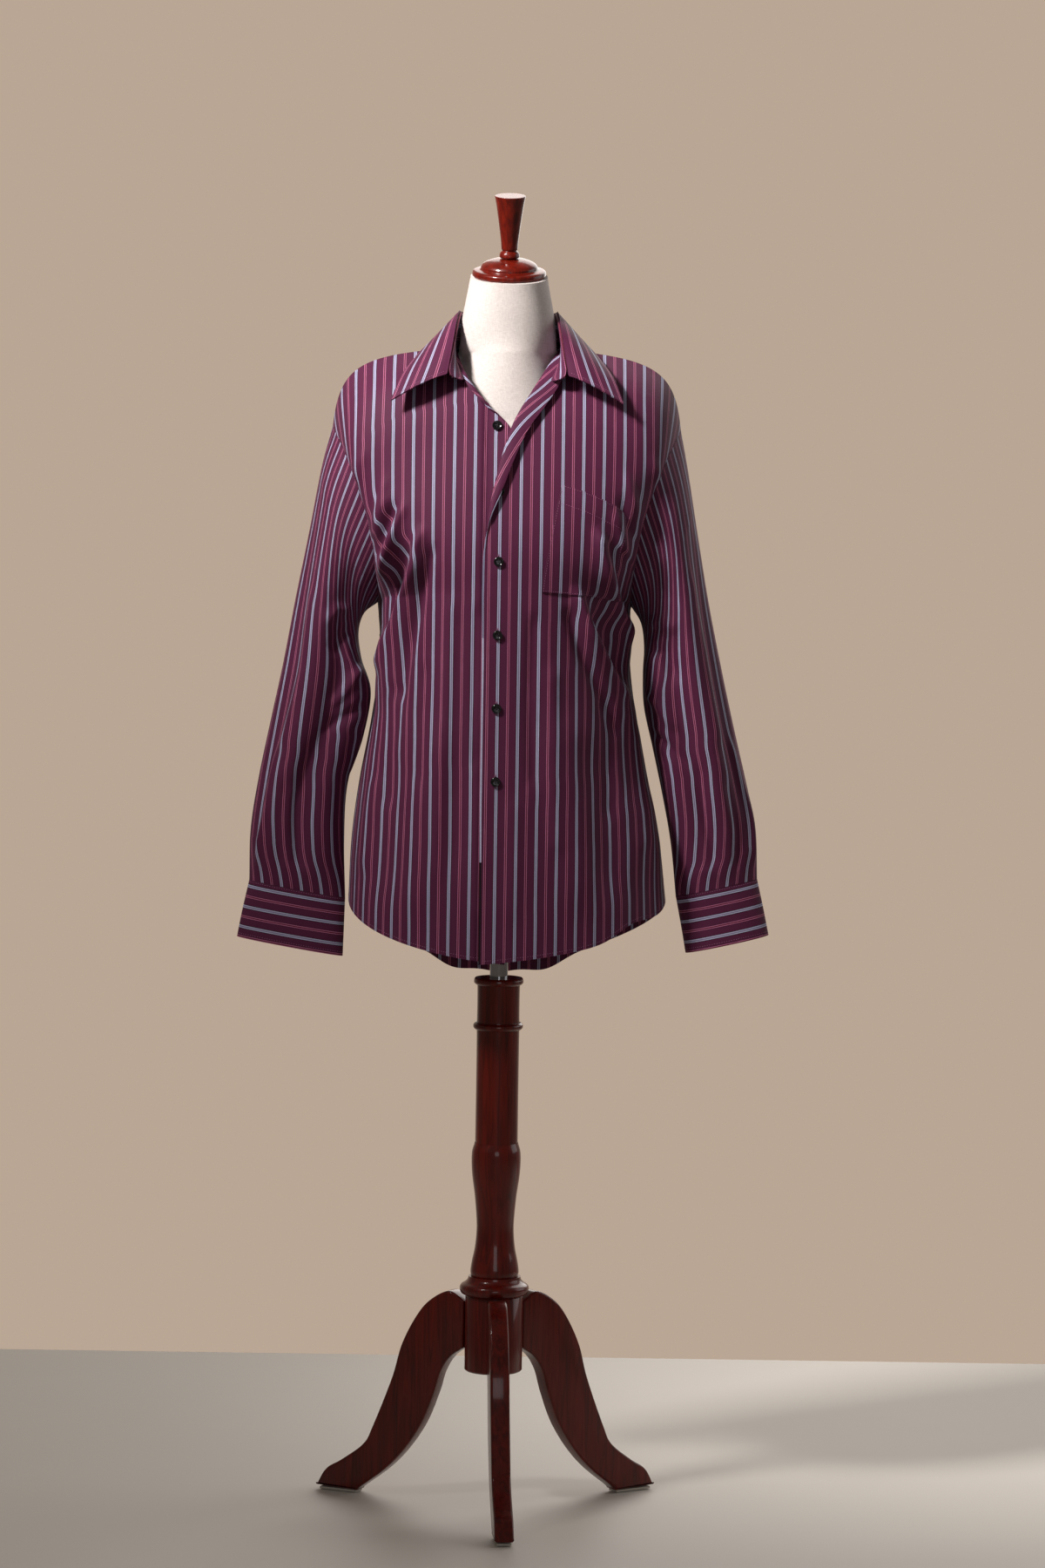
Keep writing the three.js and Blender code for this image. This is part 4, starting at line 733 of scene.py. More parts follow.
def material(name, roughness, **settings):
    """A new material with its node tree, its shader and the object's coordinates."""
    made = bpy.data.materials.new(name)
    made.use_nodes = True
    shader = made.node_tree.nodes["Principled BSDF"]
    for key, value in dict(settings, Roughness=roughness).items():
        shader.inputs[key.replace("_", " ")].default_value = value
    return made, made.node_tree, shader, node(made.node_tree, "TexCoord").outputs["Object"]


def node(tree, kind, source=None, **settings):
    """A shader node, with another node or one of its outputs led into its first input."""
    made = tree.nodes.new("ShaderNode" + kind)
    for key, value in settings.items():
        socket = key.replace("_", " ")
        if socket in made.inputs:
            made.inputs[socket].default_value = value
        else:
            setattr(made, key, value)
    if source is not None:
        tree.links.new(getattr(source, "outputs", [source])[0], made.inputs[0])
    return made


def maths(tree, operation, source, value):
    made = node(tree, "Math", source, operation=operation)
    made.inputs[1].default_value = value
    return made


def noise(tree, coordinate, scale, detail=2.0, distortion=0.0):
    """Noise over a coordinate, which three numbers stretch and one scales."""
    if isinstance(scale, tuple):
        coordinate, scale = node(tree, "Mapping", coordinate, Scale=scale), 1.0
    return node(tree, "TexNoise", coordinate, Scale=scale, Detail=detail, Distortion=distortion)


def ramp(tree, source, stops):
    made = node(tree, "ValToRGB", source)
    elements = made.color_ramp.elements
    while len(elements) < len(stops):
        elements.new(0.5)
    for element, (position, color) in zip(elements, stops):
        element.position, element.color = position, color
    return made


def srgb(red, green, blue):
    """A colour given as it looks on a screen, 0 to 255."""
    linear = [((c / 255 + 0.055) / 1.055) ** 2.4 if c > 10 else c / 255 / 12.92 for c in (red, green, blue)]
    return (*linear, 1.0)


def shades(color, dark):
    """The stops of a ramp from a darker shade of a colour to the colour."""
    return [(0.0, tuple(dark * c for c in color[:3]) + (1,)), (1.0, color)]


def bump_into(tree, shader, source, distance, strength, before=None):
    bump = node(tree, "Bump", Distance=distance, Strength=strength)
    tree.links.new(source.outputs[0], bump.inputs["Height"])
    if before is not None:
        tree.links.new(before.outputs["Normal"], bump.inputs["Normal"])
    tree.links.new(bump.outputs["Normal"], shader.inputs["Normal"])
    return bump


PERIOD = 24.5
GROUND = srgb(76, 23, 54)
STRIPES = [
    (0.0, srgb(118, 114, 140)), (0.055, srgb(166, 162, 188)), (0.138, srgb(16, 4, 14)), (0.19, GROUND),
    (0.835, srgb(34, 9, 24)), (0.872, srgb(164, 92, 126)), (0.94, srgb(92, 36, 54)),
]


def shirt_material():
    dull = dict(Sheen_Weight=0.04, Specular_IOR_Level=0.2)
    made, tree, shader, place_of = material("striped poplin", 0.68, **dull)
    uv = node(tree, "UVMap", uv_map="Cloth")
    wave = maths(tree, "PINGPONG", node(tree, "SeparateXYZ", uv), PERIOD / 2000)
    stripes = ramp(tree, maths(tree, "DIVIDE", wave, PERIOD / 2000), STRIPES)
    stripes.color_ramp.interpolation = "CONSTANT"
    yarn = node(tree, "MapRange", noise(tree, uv, (2600, 420, 1), 3.0), To_Min=0.78, To_Max=1.2)
    tint = node(tree, "Mix", data_type="RGBA", blend_type="MULTIPLY", Factor=1.0)
    tree.links.new(stripes.outputs[0], tint.inputs[6])
    tree.links.new(yarn.outputs[0], tint.inputs[7])
    tree.links.new(tint.outputs[2], shader.inputs["Base Color"])
    rumple = bump_into(tree, shader, noise(tree, place_of, 26.0, 3.0, 0.6), 0.004, 0.22)
    bump_into(tree, shader, noise(tree, uv, (1900, 1700, 1)), 0.0003, 0.35, rumple)
    return made


def form_material():
    made, tree, shader, place_of = material("form cotton", 0.92, Sheen_Weight=0.15)
    both = node(tree, "Math", noise(tree, place_of, (220, 220, 1300), 4.0), operation="ADD")
    tree.links.new(noise(tree, place_of, (1300, 1300, 160), 4.0).outputs[0], both.inputs[1])
    half = maths(tree, "MULTIPLY", both, 0.5)
    color = ramp(tree, half, [(0.3, srgb(182, 172, 168)), (0.65, srgb(210, 201, 197))])
    tree.links.new(color.outputs[0], shader.inputs["Base Color"])
    bump_into(tree, shader, half, 0.0006, 0.5)
    return made


def noise_material(name, roughness, stops, scale, bump=None, detail=3.0, distortion=0.0, **settings):
    """A material coloured along one noise, which also roughens its surface by (distance, strength)."""
    made, tree, shader, place_of = material(name, roughness, **settings)
    grain = noise(tree, place_of, scale, detail, distortion)
    tree.links.new(ramp(tree, grain, stops).outputs[0], shader.inputs["Base Color"])
    if bump:
        bump_into(tree, shader, grain, *bump)
    return made


POPLIN = shirt_material()
THREAD = noise_material("plum thread", 0.55, shades(srgb(150, 88, 124), 0.65), 900.0, detail=2.0)
# Black thread for the buttons, also used as the painted shade in the buttonhole slits
DARK_THREAD_AND_SLIT_SHADE = noise_material("dark thread and slit shade", 0.55, shades(srgb(30, 18, 26), 0.65), 900.0, detail=2.0)
BUTTON_BLACK = noise_material("black button", 0.16, shades(srgb(14, 13, 16), 0.8), 500.0, (0.0002, 0.05))
COTTON = form_material()
WOOD = noise_material(
    "lacquered mahogany", 0.36, [(0.3, srgb(64, 8, 3)), (0.72, srgb(106, 21, 8))],
    (150, 150, 9), (0.0008, 0.12), detail=7.0, distortion=1.4,
    Coat_Weight=0.5, Coat_Roughness=0.09, Specular_IOR_Level=0.15,
)
CHROME = noise_material("chrome", 0.12, shades(srgb(172, 172, 176), 0.94), 90.0, (0.0002, 0.02), Metallic=1.0)
FELT = noise_material("felt pad", 0.95, shades(srgb(196, 190, 180), 0.8), 1400.0, (0.0002, 0.6))


# The shirt. SKINS keeps each piece's points and normals for what is sewn on it.

SKINS = {}


def finish_piece(piece, body, slot, *nodes):
    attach(piece, body)
    if nodes:
        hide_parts(*nodes)


def sewn(name, outer, normals, cloth, thickness=CLOTH, ring=False):
    SKINS[name] = (outer, normals)
    return wall(name, outer, outer - normals * thickness, cloth, ring)


def fine_ends(start, stop, end, count):
    """Shares along a band, closer together near its two rounded ends."""
    low, high = start + end, stop - end
    near, far = np.linspace(start, low, 12), np.linspace(high, stop, 12)
    return np.concatenate([near[:-1], np.linspace(low, high, count), far[1:]])


def from_armhole(spots):
    """The direction of each spot away from the armhole's middle, seen from the side."""
    y, z = ARMHOLE_MIDDLE
    return unit(points(0 * spots[:, 0], spots[:, 1] - y, spots[:, 2] - z))


def lean_at_armhole(grid, normals, side, column, rows):
    normals[rows, column] = from_armhole(grid[rows, column])
    grid[rows, column, 0] -= side * ARMHOLE_GAP


def shoulder_normals(side, share):
    """The cloth's direction along the shoulder seam, shared by the front and the yoke."""
    return unit(points(side * (0.12 + 0.78 * share ** 3), -0.05, 1))


def front_panel(side):
    us = np.linspace(0, 1, 97)
    vs = np.concatenate([np.linspace(0, FRONT_UNDERARM, 91), np.linspace(FRONT_UNDERARM, 1, 91)[1:]])
    grid, _ = front_surface(side, us[None, :], vs[:, None])
    normals = grid_normals(grid, np.array([side * 0.5, -1, 0.2]))
    over_shoulder = 0.6 * smooth(0.76, 1, vs)[:, None]
    cloth = np.stack([across_length(grid, over_shoulder), up_length(grid)], -1)
    cloth[..., 0] += track(FRONT_EDGE[side], vs)[:, None] + STRIPE_START[side]
    high = vs > FRONT_UNDERARM
    lean_at_armhole(grid, normals, side, -1, np.flatnonzero(high))
    normals[~high, -1] = (side, 0, 0)
    grid[~high, -1, 1] -= SEAM_GAP / 2
    normals[-1, :-1] = shoulder_normals(side, us[:-1])
    grid[-1] += unit(grid[-2] - grid[-1]) * SEAM_GAP
    SKINS[sided(side, "front")] = (grid, normals)
    grid, normals, cloth = add_roll(side, grid, normals, cloth, us, vs)
    return wall(sided(side, "front"), grid, grid - normals * CLOTH, cloth)


def add_roll(side, grid, normals, cloth, us, vs):
    """The front's edge turns over at the neck: the strip bends forward and lies back over the panel."""
    roll = ROLL[side]
    width = np.maximum(0, track(roll["width"], vs))[:, None]
    open_share = smooth(0, roll["open"], width)[..., None]
    edge, out = grid[:, 0], normals[:, 0]
    across = unit(grid[:, 1] - grid[:, 0])
    speed = np.linalg.norm(grid[:, 1] - grid[:, 0], axis=-1)[:, None] / us[1]
    radius = roll["lift"] / 2
    parts = []
    for angle in np.linspace(0, np.pi, 8)[1:]:
        turned = edge + out * (radius - radius * math.cos(angle)) - across * radius * math.sin(angle)
        face = out * math.cos(angle) - across * math.sin(angle)
        parts.append((turned, face, angle * radius * np.ones_like(width)))
    for share in np.linspace(0, 1, 13)[1:]:
        reach = width * share
        spot, normal = front_surface(side, np.clip(reach / speed, 0, 1), vs[:, None])
        lift = roll["lift"] + 0.8 * math.sin(math.pi * share)
        parts.append((spot[:, 0] + normal[:, 0] * lift, -normal[:, 0], np.pi * radius + reach))
    strips, faces, sizes = [], [], []
    for number, (turned, face, length) in enumerate(parts):
        flat = edge - across * (0.2 + roll["lean"] * (number + 1) / len(parts))
        strips.append(flat + (turned - flat) * open_share[:, 0])
        faces.append(unit(out + (face - out) * open_share[:, 0]))
        sizes.append(cloth[:, :1, 0] - length)
    strip = np.stack(strips[::-1], 1)
    face = np.stack(faces[::-1], 1)
    coordinate = np.concatenate(sizes[::-1], 1)
    strip_cloth = np.stack([coordinate, cloth[:, :1, 1] * np.ones_like(coordinate)], -1)
    joined = ((strip, grid), (face, normals), (strip_cloth, cloth))
    return tuple(np.concatenate(pair, 1) for pair in joined)


def back_panel():
    us = np.linspace(-1, 1, 193)
    vs = np.concatenate([np.linspace(0, BACK_UNDERARM, 101), np.linspace(BACK_UNDERARM, 1, 61)[1:]])
    grid, _ = back_surface(us[None, :], vs[:, None])
    normals = grid_normals(grid, points(grid[..., 0] * 0.002, 1, 0))
    across = across_length(grid, 0)
    cloth = np.stack([across - across[:, 96:97], up_length(grid)], -1)
    high = vs > BACK_UNDERARM
    for side, column in ((RIGHT, 0), (LEFT, -1)):
        lean_at_armhole(grid, normals, side, column, np.flatnonzero(high))
        normals[~high, column] = (side, 0, 0)
        grid[~high, column, 1] += SEAM_GAP / 2
    grid[-1] += unit(grid[-2] - grid[-1]) * SEAM_GAP
    return sewn("back", grid, normals, cloth)


def yoke_panel():
    half = np.concatenate([np.linspace(0, YOKE_NECK, 25)[:-1], np.linspace(YOKE_NECK, 1, 61)])
    us = np.concatenate([-half[:0:-1], half])
    vs = np.linspace(0, 1, 29)
    grid = yoke_point(us[None, :], vs[:, None])
    normals = grid_normals(grid, np.array([0, 0.8, 1]))
    cloth = np.stack([across_length(grid.swapaxes(0, 1)).T + 6, across_length(grid)], -1)
    for side, column in ((RIGHT, 0), (LEFT, -1)):
        lean_at_armhole(grid, normals, side, column, np.arange(len(vs)))
    share = (np.abs(us) - YOKE_NECK) / (1 - YOKE_NECK)
    seam = (share >= 0) & (share < 0.99)
    normals[-1, seam] = shoulder_normals(np.sign(us[seam]), share[seam])
    grid[0] += unit(grid[1] - grid[0]) * SEAM_GAP
    grid[-1] += unit(grid[-2] - grid[-1]) * SEAM_GAP
    return sewn("yoke", grid, normals, cloth)


def sleeve_panel(side):
    turns = np.linspace(0, 1, 145)[:-1]
    vs = np.linspace(0, 1, 141)
    grid = sleeve_point(side, turns[None, :], vs[:, None])
    normals = grid_normals(grid, sleeve_outward(side, grid, vs), ring=True)
    closed = np.concatenate([grid, grid[:, :1]], 1)
    across = across_length(closed)
    cloth = np.stack([across - across[:, 72:73], up_length(closed)], -1)
    normals[0] = from_armhole(grid[0])
    grid[0, :, 0] += side * ARMHOLE_GAP
    normals[-1, :, 2] = 0
    normals[-1] = unit(normals[-1])
    return sewn(sided(side, "sleeve"), grid, normals, cloth, ring=True)


def cuff_panel(side):
    shares = fine_ends(0, 1, 0.05, 110)
    vs = np.linspace(0, 1, 25)
    grid = cuff_point(side, shares[None, :], vs[:, None])
    normals = grid_normals(grid, cuff_outward(side, grid))
    cloth = np.stack([up_length(grid) - 7, across_length(grid)], -1)
    normals[0, :, 2] = 0
    normals[0] = unit(normals[0])
    return sewn(sided(side, "cuff"), grid, normals, cloth, CUFF["cloth"])


def collar_stand():
    places = fine_ends(-1, 1, 0.07, 150)
    vs = np.linspace(0, 1, 13)
    grid = stand_point(places[None, :], vs[:, None])
    normals = grid_normals(grid, points(grid[..., 0], grid[..., 1] + 4, -60))
    cloth = np.stack([up_length(grid) + 4, across_length(grid)], -1)
    inner = grid - normals * STAND_CLOTH
    SKINS["collar_stand"] = (inner, -normals)
    return wall("collar_stand", grid, inner, cloth)


def collar_leaf():
    places = np.linspace(-1, 1, 193)
    vs = np.linspace(0, 1, 29)
    grid = leaf_point(places[None, :], vs[:, None])
    normals = grid_normals(grid, points(grid[..., 0], grid[..., 1], 60))
    raised = grid + normals * LEAF["lift"]
    raised[0, :, 2] += LEAF["start"]
    cloth = np.stack([up_length(grid) + 3, across_length(grid)], -1)
    return sewn("collar_leaf", raised, normals, cloth, LEAF["cloth"])


def place_on_front(side, x, z):
    u, v = 0.3, 0.5
    for _ in range(40):
        e = 1e-3
        here = front_base(side, u, v)
        du = (front_base(side, u + e, v) - here) / e
        dv = (front_base(side, u, v + e) - here) / e
        det = du[0] * dv[2] - du[2] * dv[0]
        dx, dz = x - here[0], z - here[2]
        u = float(np.clip(u + 0.7 * (dx * dv[2] - dz * dv[0]) / det, 0, 1))
        v = float(np.clip(v + 0.7 * (dz * du[0] - dx * du[2]) / det, 0, 1))
    return u, v


def pocket_patch():
    """The pocket lies on the left front, a little clear of it, and carries its stripes on."""
    inner, high = place_on_front(LEFT, POCKET["x_inner"], POCKET["z_top"])
    outer, _ = place_on_front(LEFT, POCKET["x_outer"], POCKET["z_top_outer"])
    us, vs = np.linspace(inner, outer, 45), np.linspace(FRONT_UNDERARM, high, 45)
    fine, share = np.linspace(0, 1, 97), np.linspace(0, 1, 45)
    whole, _ = front_surface(LEFT, fine[None, :], vs[:, None])
    grid, _ = front_surface(LEFT, us[None, :], vs[:, None])
    normals = grid_normals(grid, np.array([0.5, -1, 0.2]))
    across = np.stack([np.interp(us, fine, row) for row in across_length(whole, 0)])
    edge = track(FRONT_EDGE[LEFT], vs)[:, None] + STRIPE_START[LEFT]
    cloth = np.stack([across + edge, up_length(grid) + 300], -1)
    gape = np.sin(np.pi * share)[None, :] * smooth(0.72, 1, share)[:, None]
    lift = (POCKET["lift"] + POCKET["gape"] * gape)[..., None]
    return sewn("pocket", grid + normals * (lift + 1), normals, cloth, 1)


def sleeve_placket(side):
    """The band of the sleeve's slit, lying on the back of the sleeve above the cuff."""
    turns = np.linspace(0.695, 0.745, 9)
    vs = np.linspace(0.77, 0.992, 40)
    grid = sleeve_point(side, turns[None, :], vs[:, None])
    normals = grid_normals(grid, sleeve_outward(side, grid, vs))
    cloth = np.stack([across_length(grid), up_length(grid)], -1)
    raised = grid + normals * PLACKET["lift"]
    return sewn(sided(side, "sleeve_placket"), raised, normals, cloth, PLACKET["cloth"])


# Stitches: each a small lozenge of thread lying on the cloth, half as wide, high and low as given

STITCH = (0.3, 0.27, 0.18)
SATIN_STITCH = (0.34, 0.3, 0.2)
STITCH_FACES = [(0, 2, 1), (0, 3, 2), (0, 4, 3), (0, 1, 4), (5, 1, 2), (5, 2, 3), (5, 3, 4), (5, 4, 1)]


def lozenges(begin, end, up, wide, high, low):
    """Vertices and faces of one lozenge of thread from each begin to each end."""
    beside = np.cross(up, unit(end - begin))
    middle = (begin + end) / 2
    ring = [middle + beside * wide, middle + up * high, middle - beside * wide, middle - up * low]
    vertices = np.stack([begin, *ring, end], 1).reshape(-1, 3)
    return vertices, [tuple(6 * k + i for i in face) for k in range(len(begin)) for face in STITCH_FACES]


def stitch_run(line, normals, pitch=3.0, length=2.1):
    """Vertices and faces of the stitches along a line of points, in millimetres."""
    step = np.linalg.norm(np.diff(line, axis=0), axis=1)
    along = np.concatenate([[0], np.cumsum(step)])
    starts = np.arange(0.5, along[-1] - length, pitch)
    read = lambda values, at: np.stack([np.interp(at, along, values[:, k]) for k in range(3)], -1)
    up = unit(read(normals, starts + length / 2))
    return lozenges(read(line, starts), read(line, starts + length), up, *STITCH)


def stitches(name, runs):
    vertices, faces = [], []
    count = 0
    for line, normals in runs:
        run_vertices, run_faces = stitch_run(line, normals)
        vertices.append(run_vertices)
        faces += [tuple(i + count for i in face) for face in run_faces]
        count += len(run_vertices)
    made = new_object(name, place(np.concatenate(vertices)), faces, THREAD, sharp=70)
    finish_piece(made, "form", "shirt_cloth")


def inset_line(name, edge, inset, start=0.0, stop=1.0, lift=0.12):
    """A line on a piece at a distance from one of its edges, with the cloth's normals along it."""
    grid, normals = SKINS[name]
    if edge in ("low", "high"):
        grid, normals = grid.swapaxes(0, 1), normals.swapaxes(0, 1)
    if edge in ("high", "right"):
        grid, normals = grid[:, ::-1], normals[:, ::-1]
    length = across_length(grid)
    spots, ups = [], []
    for row, row_normals, row_length in zip(grid, normals, length):
        read = lambda values: np.array([np.interp(inset, row_length, values[:, k]) for k in range(3)])
        spots.append(read(row))
        ups.append(read(row_normals))
    first, last = int(start * (len(grid) - 1)), int(stop * (len(grid) - 1)) + 1
    ups = unit(np.array(ups[first:last]))
    return np.array(spots[first:last]) + ups * lift, ups


TOPSTITCHES = [
    ("collar_leaf", "high", 5, 0.02, 0.98),
    ("collar_leaf", "left", 5, 0.1, 0.95), ("collar_leaf", "right", 5, 0.1, 0.95),
    ("collar_stand", "high", 1.4, 0.04, 0.96), ("collar_stand", "high", 6, 0.05, 0.95),
    ("collar_stand", "low", 1.6, 0.05, 0.95),
    ("right_front", "low", 4, 0, 1), ("left_front", "low", 4, 0, 1), ("back", "low", 4, 0, 1),
    ("right_front", "right", 5, 0.52, 1), ("left_front", "right", 5, 0.52, 1),
    ("back", "left", 5, 0.64, 1), ("back", "right", 5, 0.64, 1),
    ("yoke", "left", 5, 0, 1), ("yoke", "right", 5, 0, 1),
    ("yoke", "low", 1.6, 0.02, 0.98), ("yoke", "high", 1.8, 0.02, 0.33), ("yoke", "high", 1.8, 0.67, 0.98),
    ("pocket", "left", 1.6, 0, 1), ("pocket", "right", 1.6, 0, 1), ("pocket", "low", 1.6, 0, 1),
    ("pocket", "high", 1.4, 0, 1), ("pocket", "high", 22, 0, 1),
    ("right_sleeve_placket", "left", 1.4, 0, 1), ("right_sleeve_placket", "right", 1.4, 0, 1),
    ("left_sleeve_placket", "left", 1.4, 0, 1), ("left_sleeve_placket", "right", 1.4, 0, 1),
    ("right_cuff", "low", 1.6, 0.01, 0.99), ("right_cuff", "high", 5, 0.02, 0.98),
    ("left_cuff", "low", 1.6, 0.01, 0.99), ("left_cuff", "high", 5, 0.02, 0.98),
    ("right_cuff", "right", 5, 0.06, 0.9), ("left_cuff", "right", 5, 0.06, 0.9),
]


def make_stitches():
    for owner in dict.fromkeys(row[0] for row in TOPSTITCHES):
        stitches(owner + "_stitches", [inset_line(*row) for row in TOPSTITCHES if row[0] == owner])


def make_buttonhole(name, spot, normal, along):
    """An upright slit of painted shade, a dark bar, with its satin stitches on both sides and a bar at each
    end.
    """
    beside = np.cross(normal, along)
    rows = [(at, offset, 0.16, 0.62) for offset in (-0.85, 0.85) for at in np.linspace(-7.6, 7.6, 24)]
    rows += [(at, 0, 0.2, 1.5) for at in (-8.3, 8.3)]
    at, offset, lift, reach = np.array(rows).T[..., None]
    middle = spot + along * at + beside * offset + normal * lift
    vertices, faces = lozenges(middle - beside * reach, middle + beside * reach, normal, *SATIN_STITCH)
    made = new_object(name, place(vertices), faces, THREAD, sharp=70)
    finish_piece(made, "form", "shirt_cloth")
    # The slit is painted shade: a thin dark bar where the cut opens between the stitches
    slit = bar(name + "_slit", (0, -7.4, 0), (0, 7.4, 0), 0.34, DARK_THREAD_AND_SLIT_SHADE, frame_at(spot, normal, along))
    finish_piece(slit, "form", "shirt_cloth")


def make_shirt():
    pieces = {
        "right_front": front_panel(RIGHT), "left_front": front_panel(LEFT), "back": back_panel(),
        "yoke": yoke_panel(), "collar_stand": collar_stand(), "collar_leaf": collar_leaf(),
        "pocket": pocket_patch(),
    }
    for side in (RIGHT, LEFT):
        pieces[sided(side, "sleeve")] = sleeve_panel(side)
        pieces[sided(side, "cuff")] = cuff_panel(side)
        pieces[sided(side, "sleeve_placket")] = sleeve_placket(side)
    for name, piece in pieces.items():
        finish_piece(piece, "form", "shirt_cloth", name)
    return pieces


# Buttons

def lathe(name, profile, sides, material_used, transform, sharp=35):
    """A turned solid. The profile is radius and height, and closes on the axis or on itself."""
    closed = profile[0] == profile[-1]
    rings = profile[:-1] if closed else profile
    vertices, index = [], []
    for radius, height in rings:
        if radius == 0:
            index.append([len(vertices)] * sides)
            vertices.append((0, 0, height))
        else:
            index.append([len(vertices) + k for k in range(sides)])
            angles = [2 * math.pi * k / sides for k in range(sides)]
            vertices += [(radius * math.cos(a), radius * math.sin(a), height) for a in angles]
    faces = []
    pairs = list(zip(index, index[1:])) + ([(index[-1], index[0])] if closed else [])
    for low, high in pairs:
        for k in range(sides):
            face = (low[k], low[(k + 1) % sides], high[(k + 1) % sides], high[k])
            face = tuple(dict.fromkeys(face))
            if len(face) > 2:
                faces.append(face)
    spots = [transform @ Vector(v) for v in vertices]
    return new_object(name, place(np.array(spots)), faces, material_used, sharp=sharp)


def fine_profile(profile, count):
    """Rounds a turned profile by a smooth curve through its points."""
    rows = np.array(profile, float)
    v = np.linspace(0, 1, count)
    return [tuple(p) for p in np.stack([track(rows[:, 0], v), track(rows[:, 1], v)], -1)]


BUTTON_PROFILE = [
    (0, 0), (4.6, 0), (5.4, 0.35), (5.8, 0.9), (5.8, 1.6), (5.5, 2.15), (5.0, 2.4), (4.5, 2.3), (4.1, 1.95),
    (3.6, 1.75), (2.4, 1.65), (0, 1.6),
]


def cut_holes(button, transform, holes):
    for number, (x, y) in enumerate(holes):
        cutter = lathe(f"cutter_{number}", [(0, -2), (0.75, -2), (0.75, 5), (0, 5)], 12, BUTTON_BLACK,
                       transform @ Matrix.Translation((x, y, 0)))
        cut = button.modifiers.new("hole", "BOOLEAN")
        cut.operation, cut.object, cut.solver = "DIFFERENCE", cutter, "EXACT"
    graph = bpy.context.evaluated_depsgraph_get()
    mesh = bpy.data.meshes.new_from_object(button.evaluated_get(graph))
    button.modifiers.clear()
    button.data = mesh
    for thing in [o for o in bpy.data.objects if o.name.startswith("cutter_")]:
        bpy.data.objects.remove(thing)


def bar(name, start, end, radius, material_used, transform):
    """A short round thread between two points."""
    start, end = Vector(start), Vector(end)
    turn = (end - start).normalized().to_track_quat("Z", "Y").to_matrix().to_4x4()
    length = (end - start).length
    half = [(0, 0), (radius * 0.7, 0.05), (radius, radius)]
    profile = half + [(wide, length - height) for wide, height in half[::-1]]
    return lathe(name, profile, 8, material_used, transform @ Matrix.Translation(start) @ turn)


def frame_at(spot, normal, along):
    """A transform with its Z on the normal and its Y along the given direction."""
    up = Vector(unit(np.asarray(normal)))
    ahead = Vector(along)
    ahead = (ahead - up * ahead.dot(up)).normalized()
    turn = Matrix((ahead.cross(up), ahead, up)).transposed().to_4x4()
    return Matrix.Translation(Vector(spot)) @ turn


def sewn_button(name, spot, normal, spin, node_name):
    turn = Vector(normal).to_track_quat("Z", "Y").to_matrix().to_4x4()
    spun = turn @ Matrix.Rotation(spin, 4, "Z") @ Matrix.Translation((0, 0, BUTTON_LIFT))
    transform = Matrix.Translation(Vector(spot)) @ spun
    button = lathe(name, BUTTON_PROFILE, 36, BUTTON_BLACK, transform)
    hole = 1.25
    cut_holes(button, transform, [(hole, hole), (-hole, hole), (-hole, -hole), (hole, -hole)])
    finish_piece(button, "form", "button", node_name)
    for number, (x, z) in enumerate(((hole, 1.9), (-hole, 2.15))):
        thread = bar(f"{name}_thread_{number}", (x, hole, z), (-x, -hole, z), 0.3, DARK_THREAD_AND_SLIT_SHADE, transform)
        finish_piece(thread, "form", "button")
    shank = bar(f"{name}_shank", (0, 0, -1.2), (0, 0, 0.6), 1.1, DARK_THREAD_AND_SLIT_SHADE, transform)
    finish_piece(shank, "form", "button")


def make_buttons():
    for index, z in enumerate(FRONT_BUTTON_Z):
        side = LEFT if index else RIGHT
        x, z = (BUTTON_X, z) if index else (BUTTON_X - 4, z + 5)
        u, v = (np.array([share]) for share in place_on_front(side, x, z))
        surface = lambda a, b: front_surface(side, a, b)[0]
        spot = surface(u, v)[0]
        normal = surface_normal(surface, u, v, np.array([0, -1, 0]), 2e-3)[0]
        sewn_button(f"front_button_{index + 1}", spot, normal, 0.5 + 0.37 * index, f"button_{index + 1}")
        if index:
            along = unit(np.cross(np.array([1.0, 0, 0]), -normal))
            make_buttonhole(f"buttonhole_{index + 1}", spot, normal, along)
    for side in (RIGHT, LEFT):
        spot = cuff_point(side, 0.955, 0.5)
        name = sided(side, "cuff_button")
        sewn_button(name + "_sewn", spot, cuff_outward(side, spot), 0.3, name)


# The dress form and its stand

def neck_foot(x, y, z):
    """The foot of the neck flares down into the chest, in front of the sloping shoulders."""
    drop = np.clip((NECK_FOOT["z"] - z) / NECK_FOOT["height"], 0, 1)
    half = NECK_FOOT["half"] + NECK_FOOT["spread"] * drop ** 2
    round_share = np.sqrt(np.maximum(0, 1 - (x / half) ** 2))
    reach = 7 + (NECK_FOOT["reach"] - 7 + NECK_FOOT["flare"] * drop) * round_share
    soft = 8 * round_share * smooth(0, 0.5, drop) * smooth(1, 0.8, drop)
    inside = (drop > 0) & (drop < 1) & (y <= 0) & (np.abs(x) < half)
    return np.where(inside, -(reach - y + np.hypot(reach + y, soft)) / 2, y)


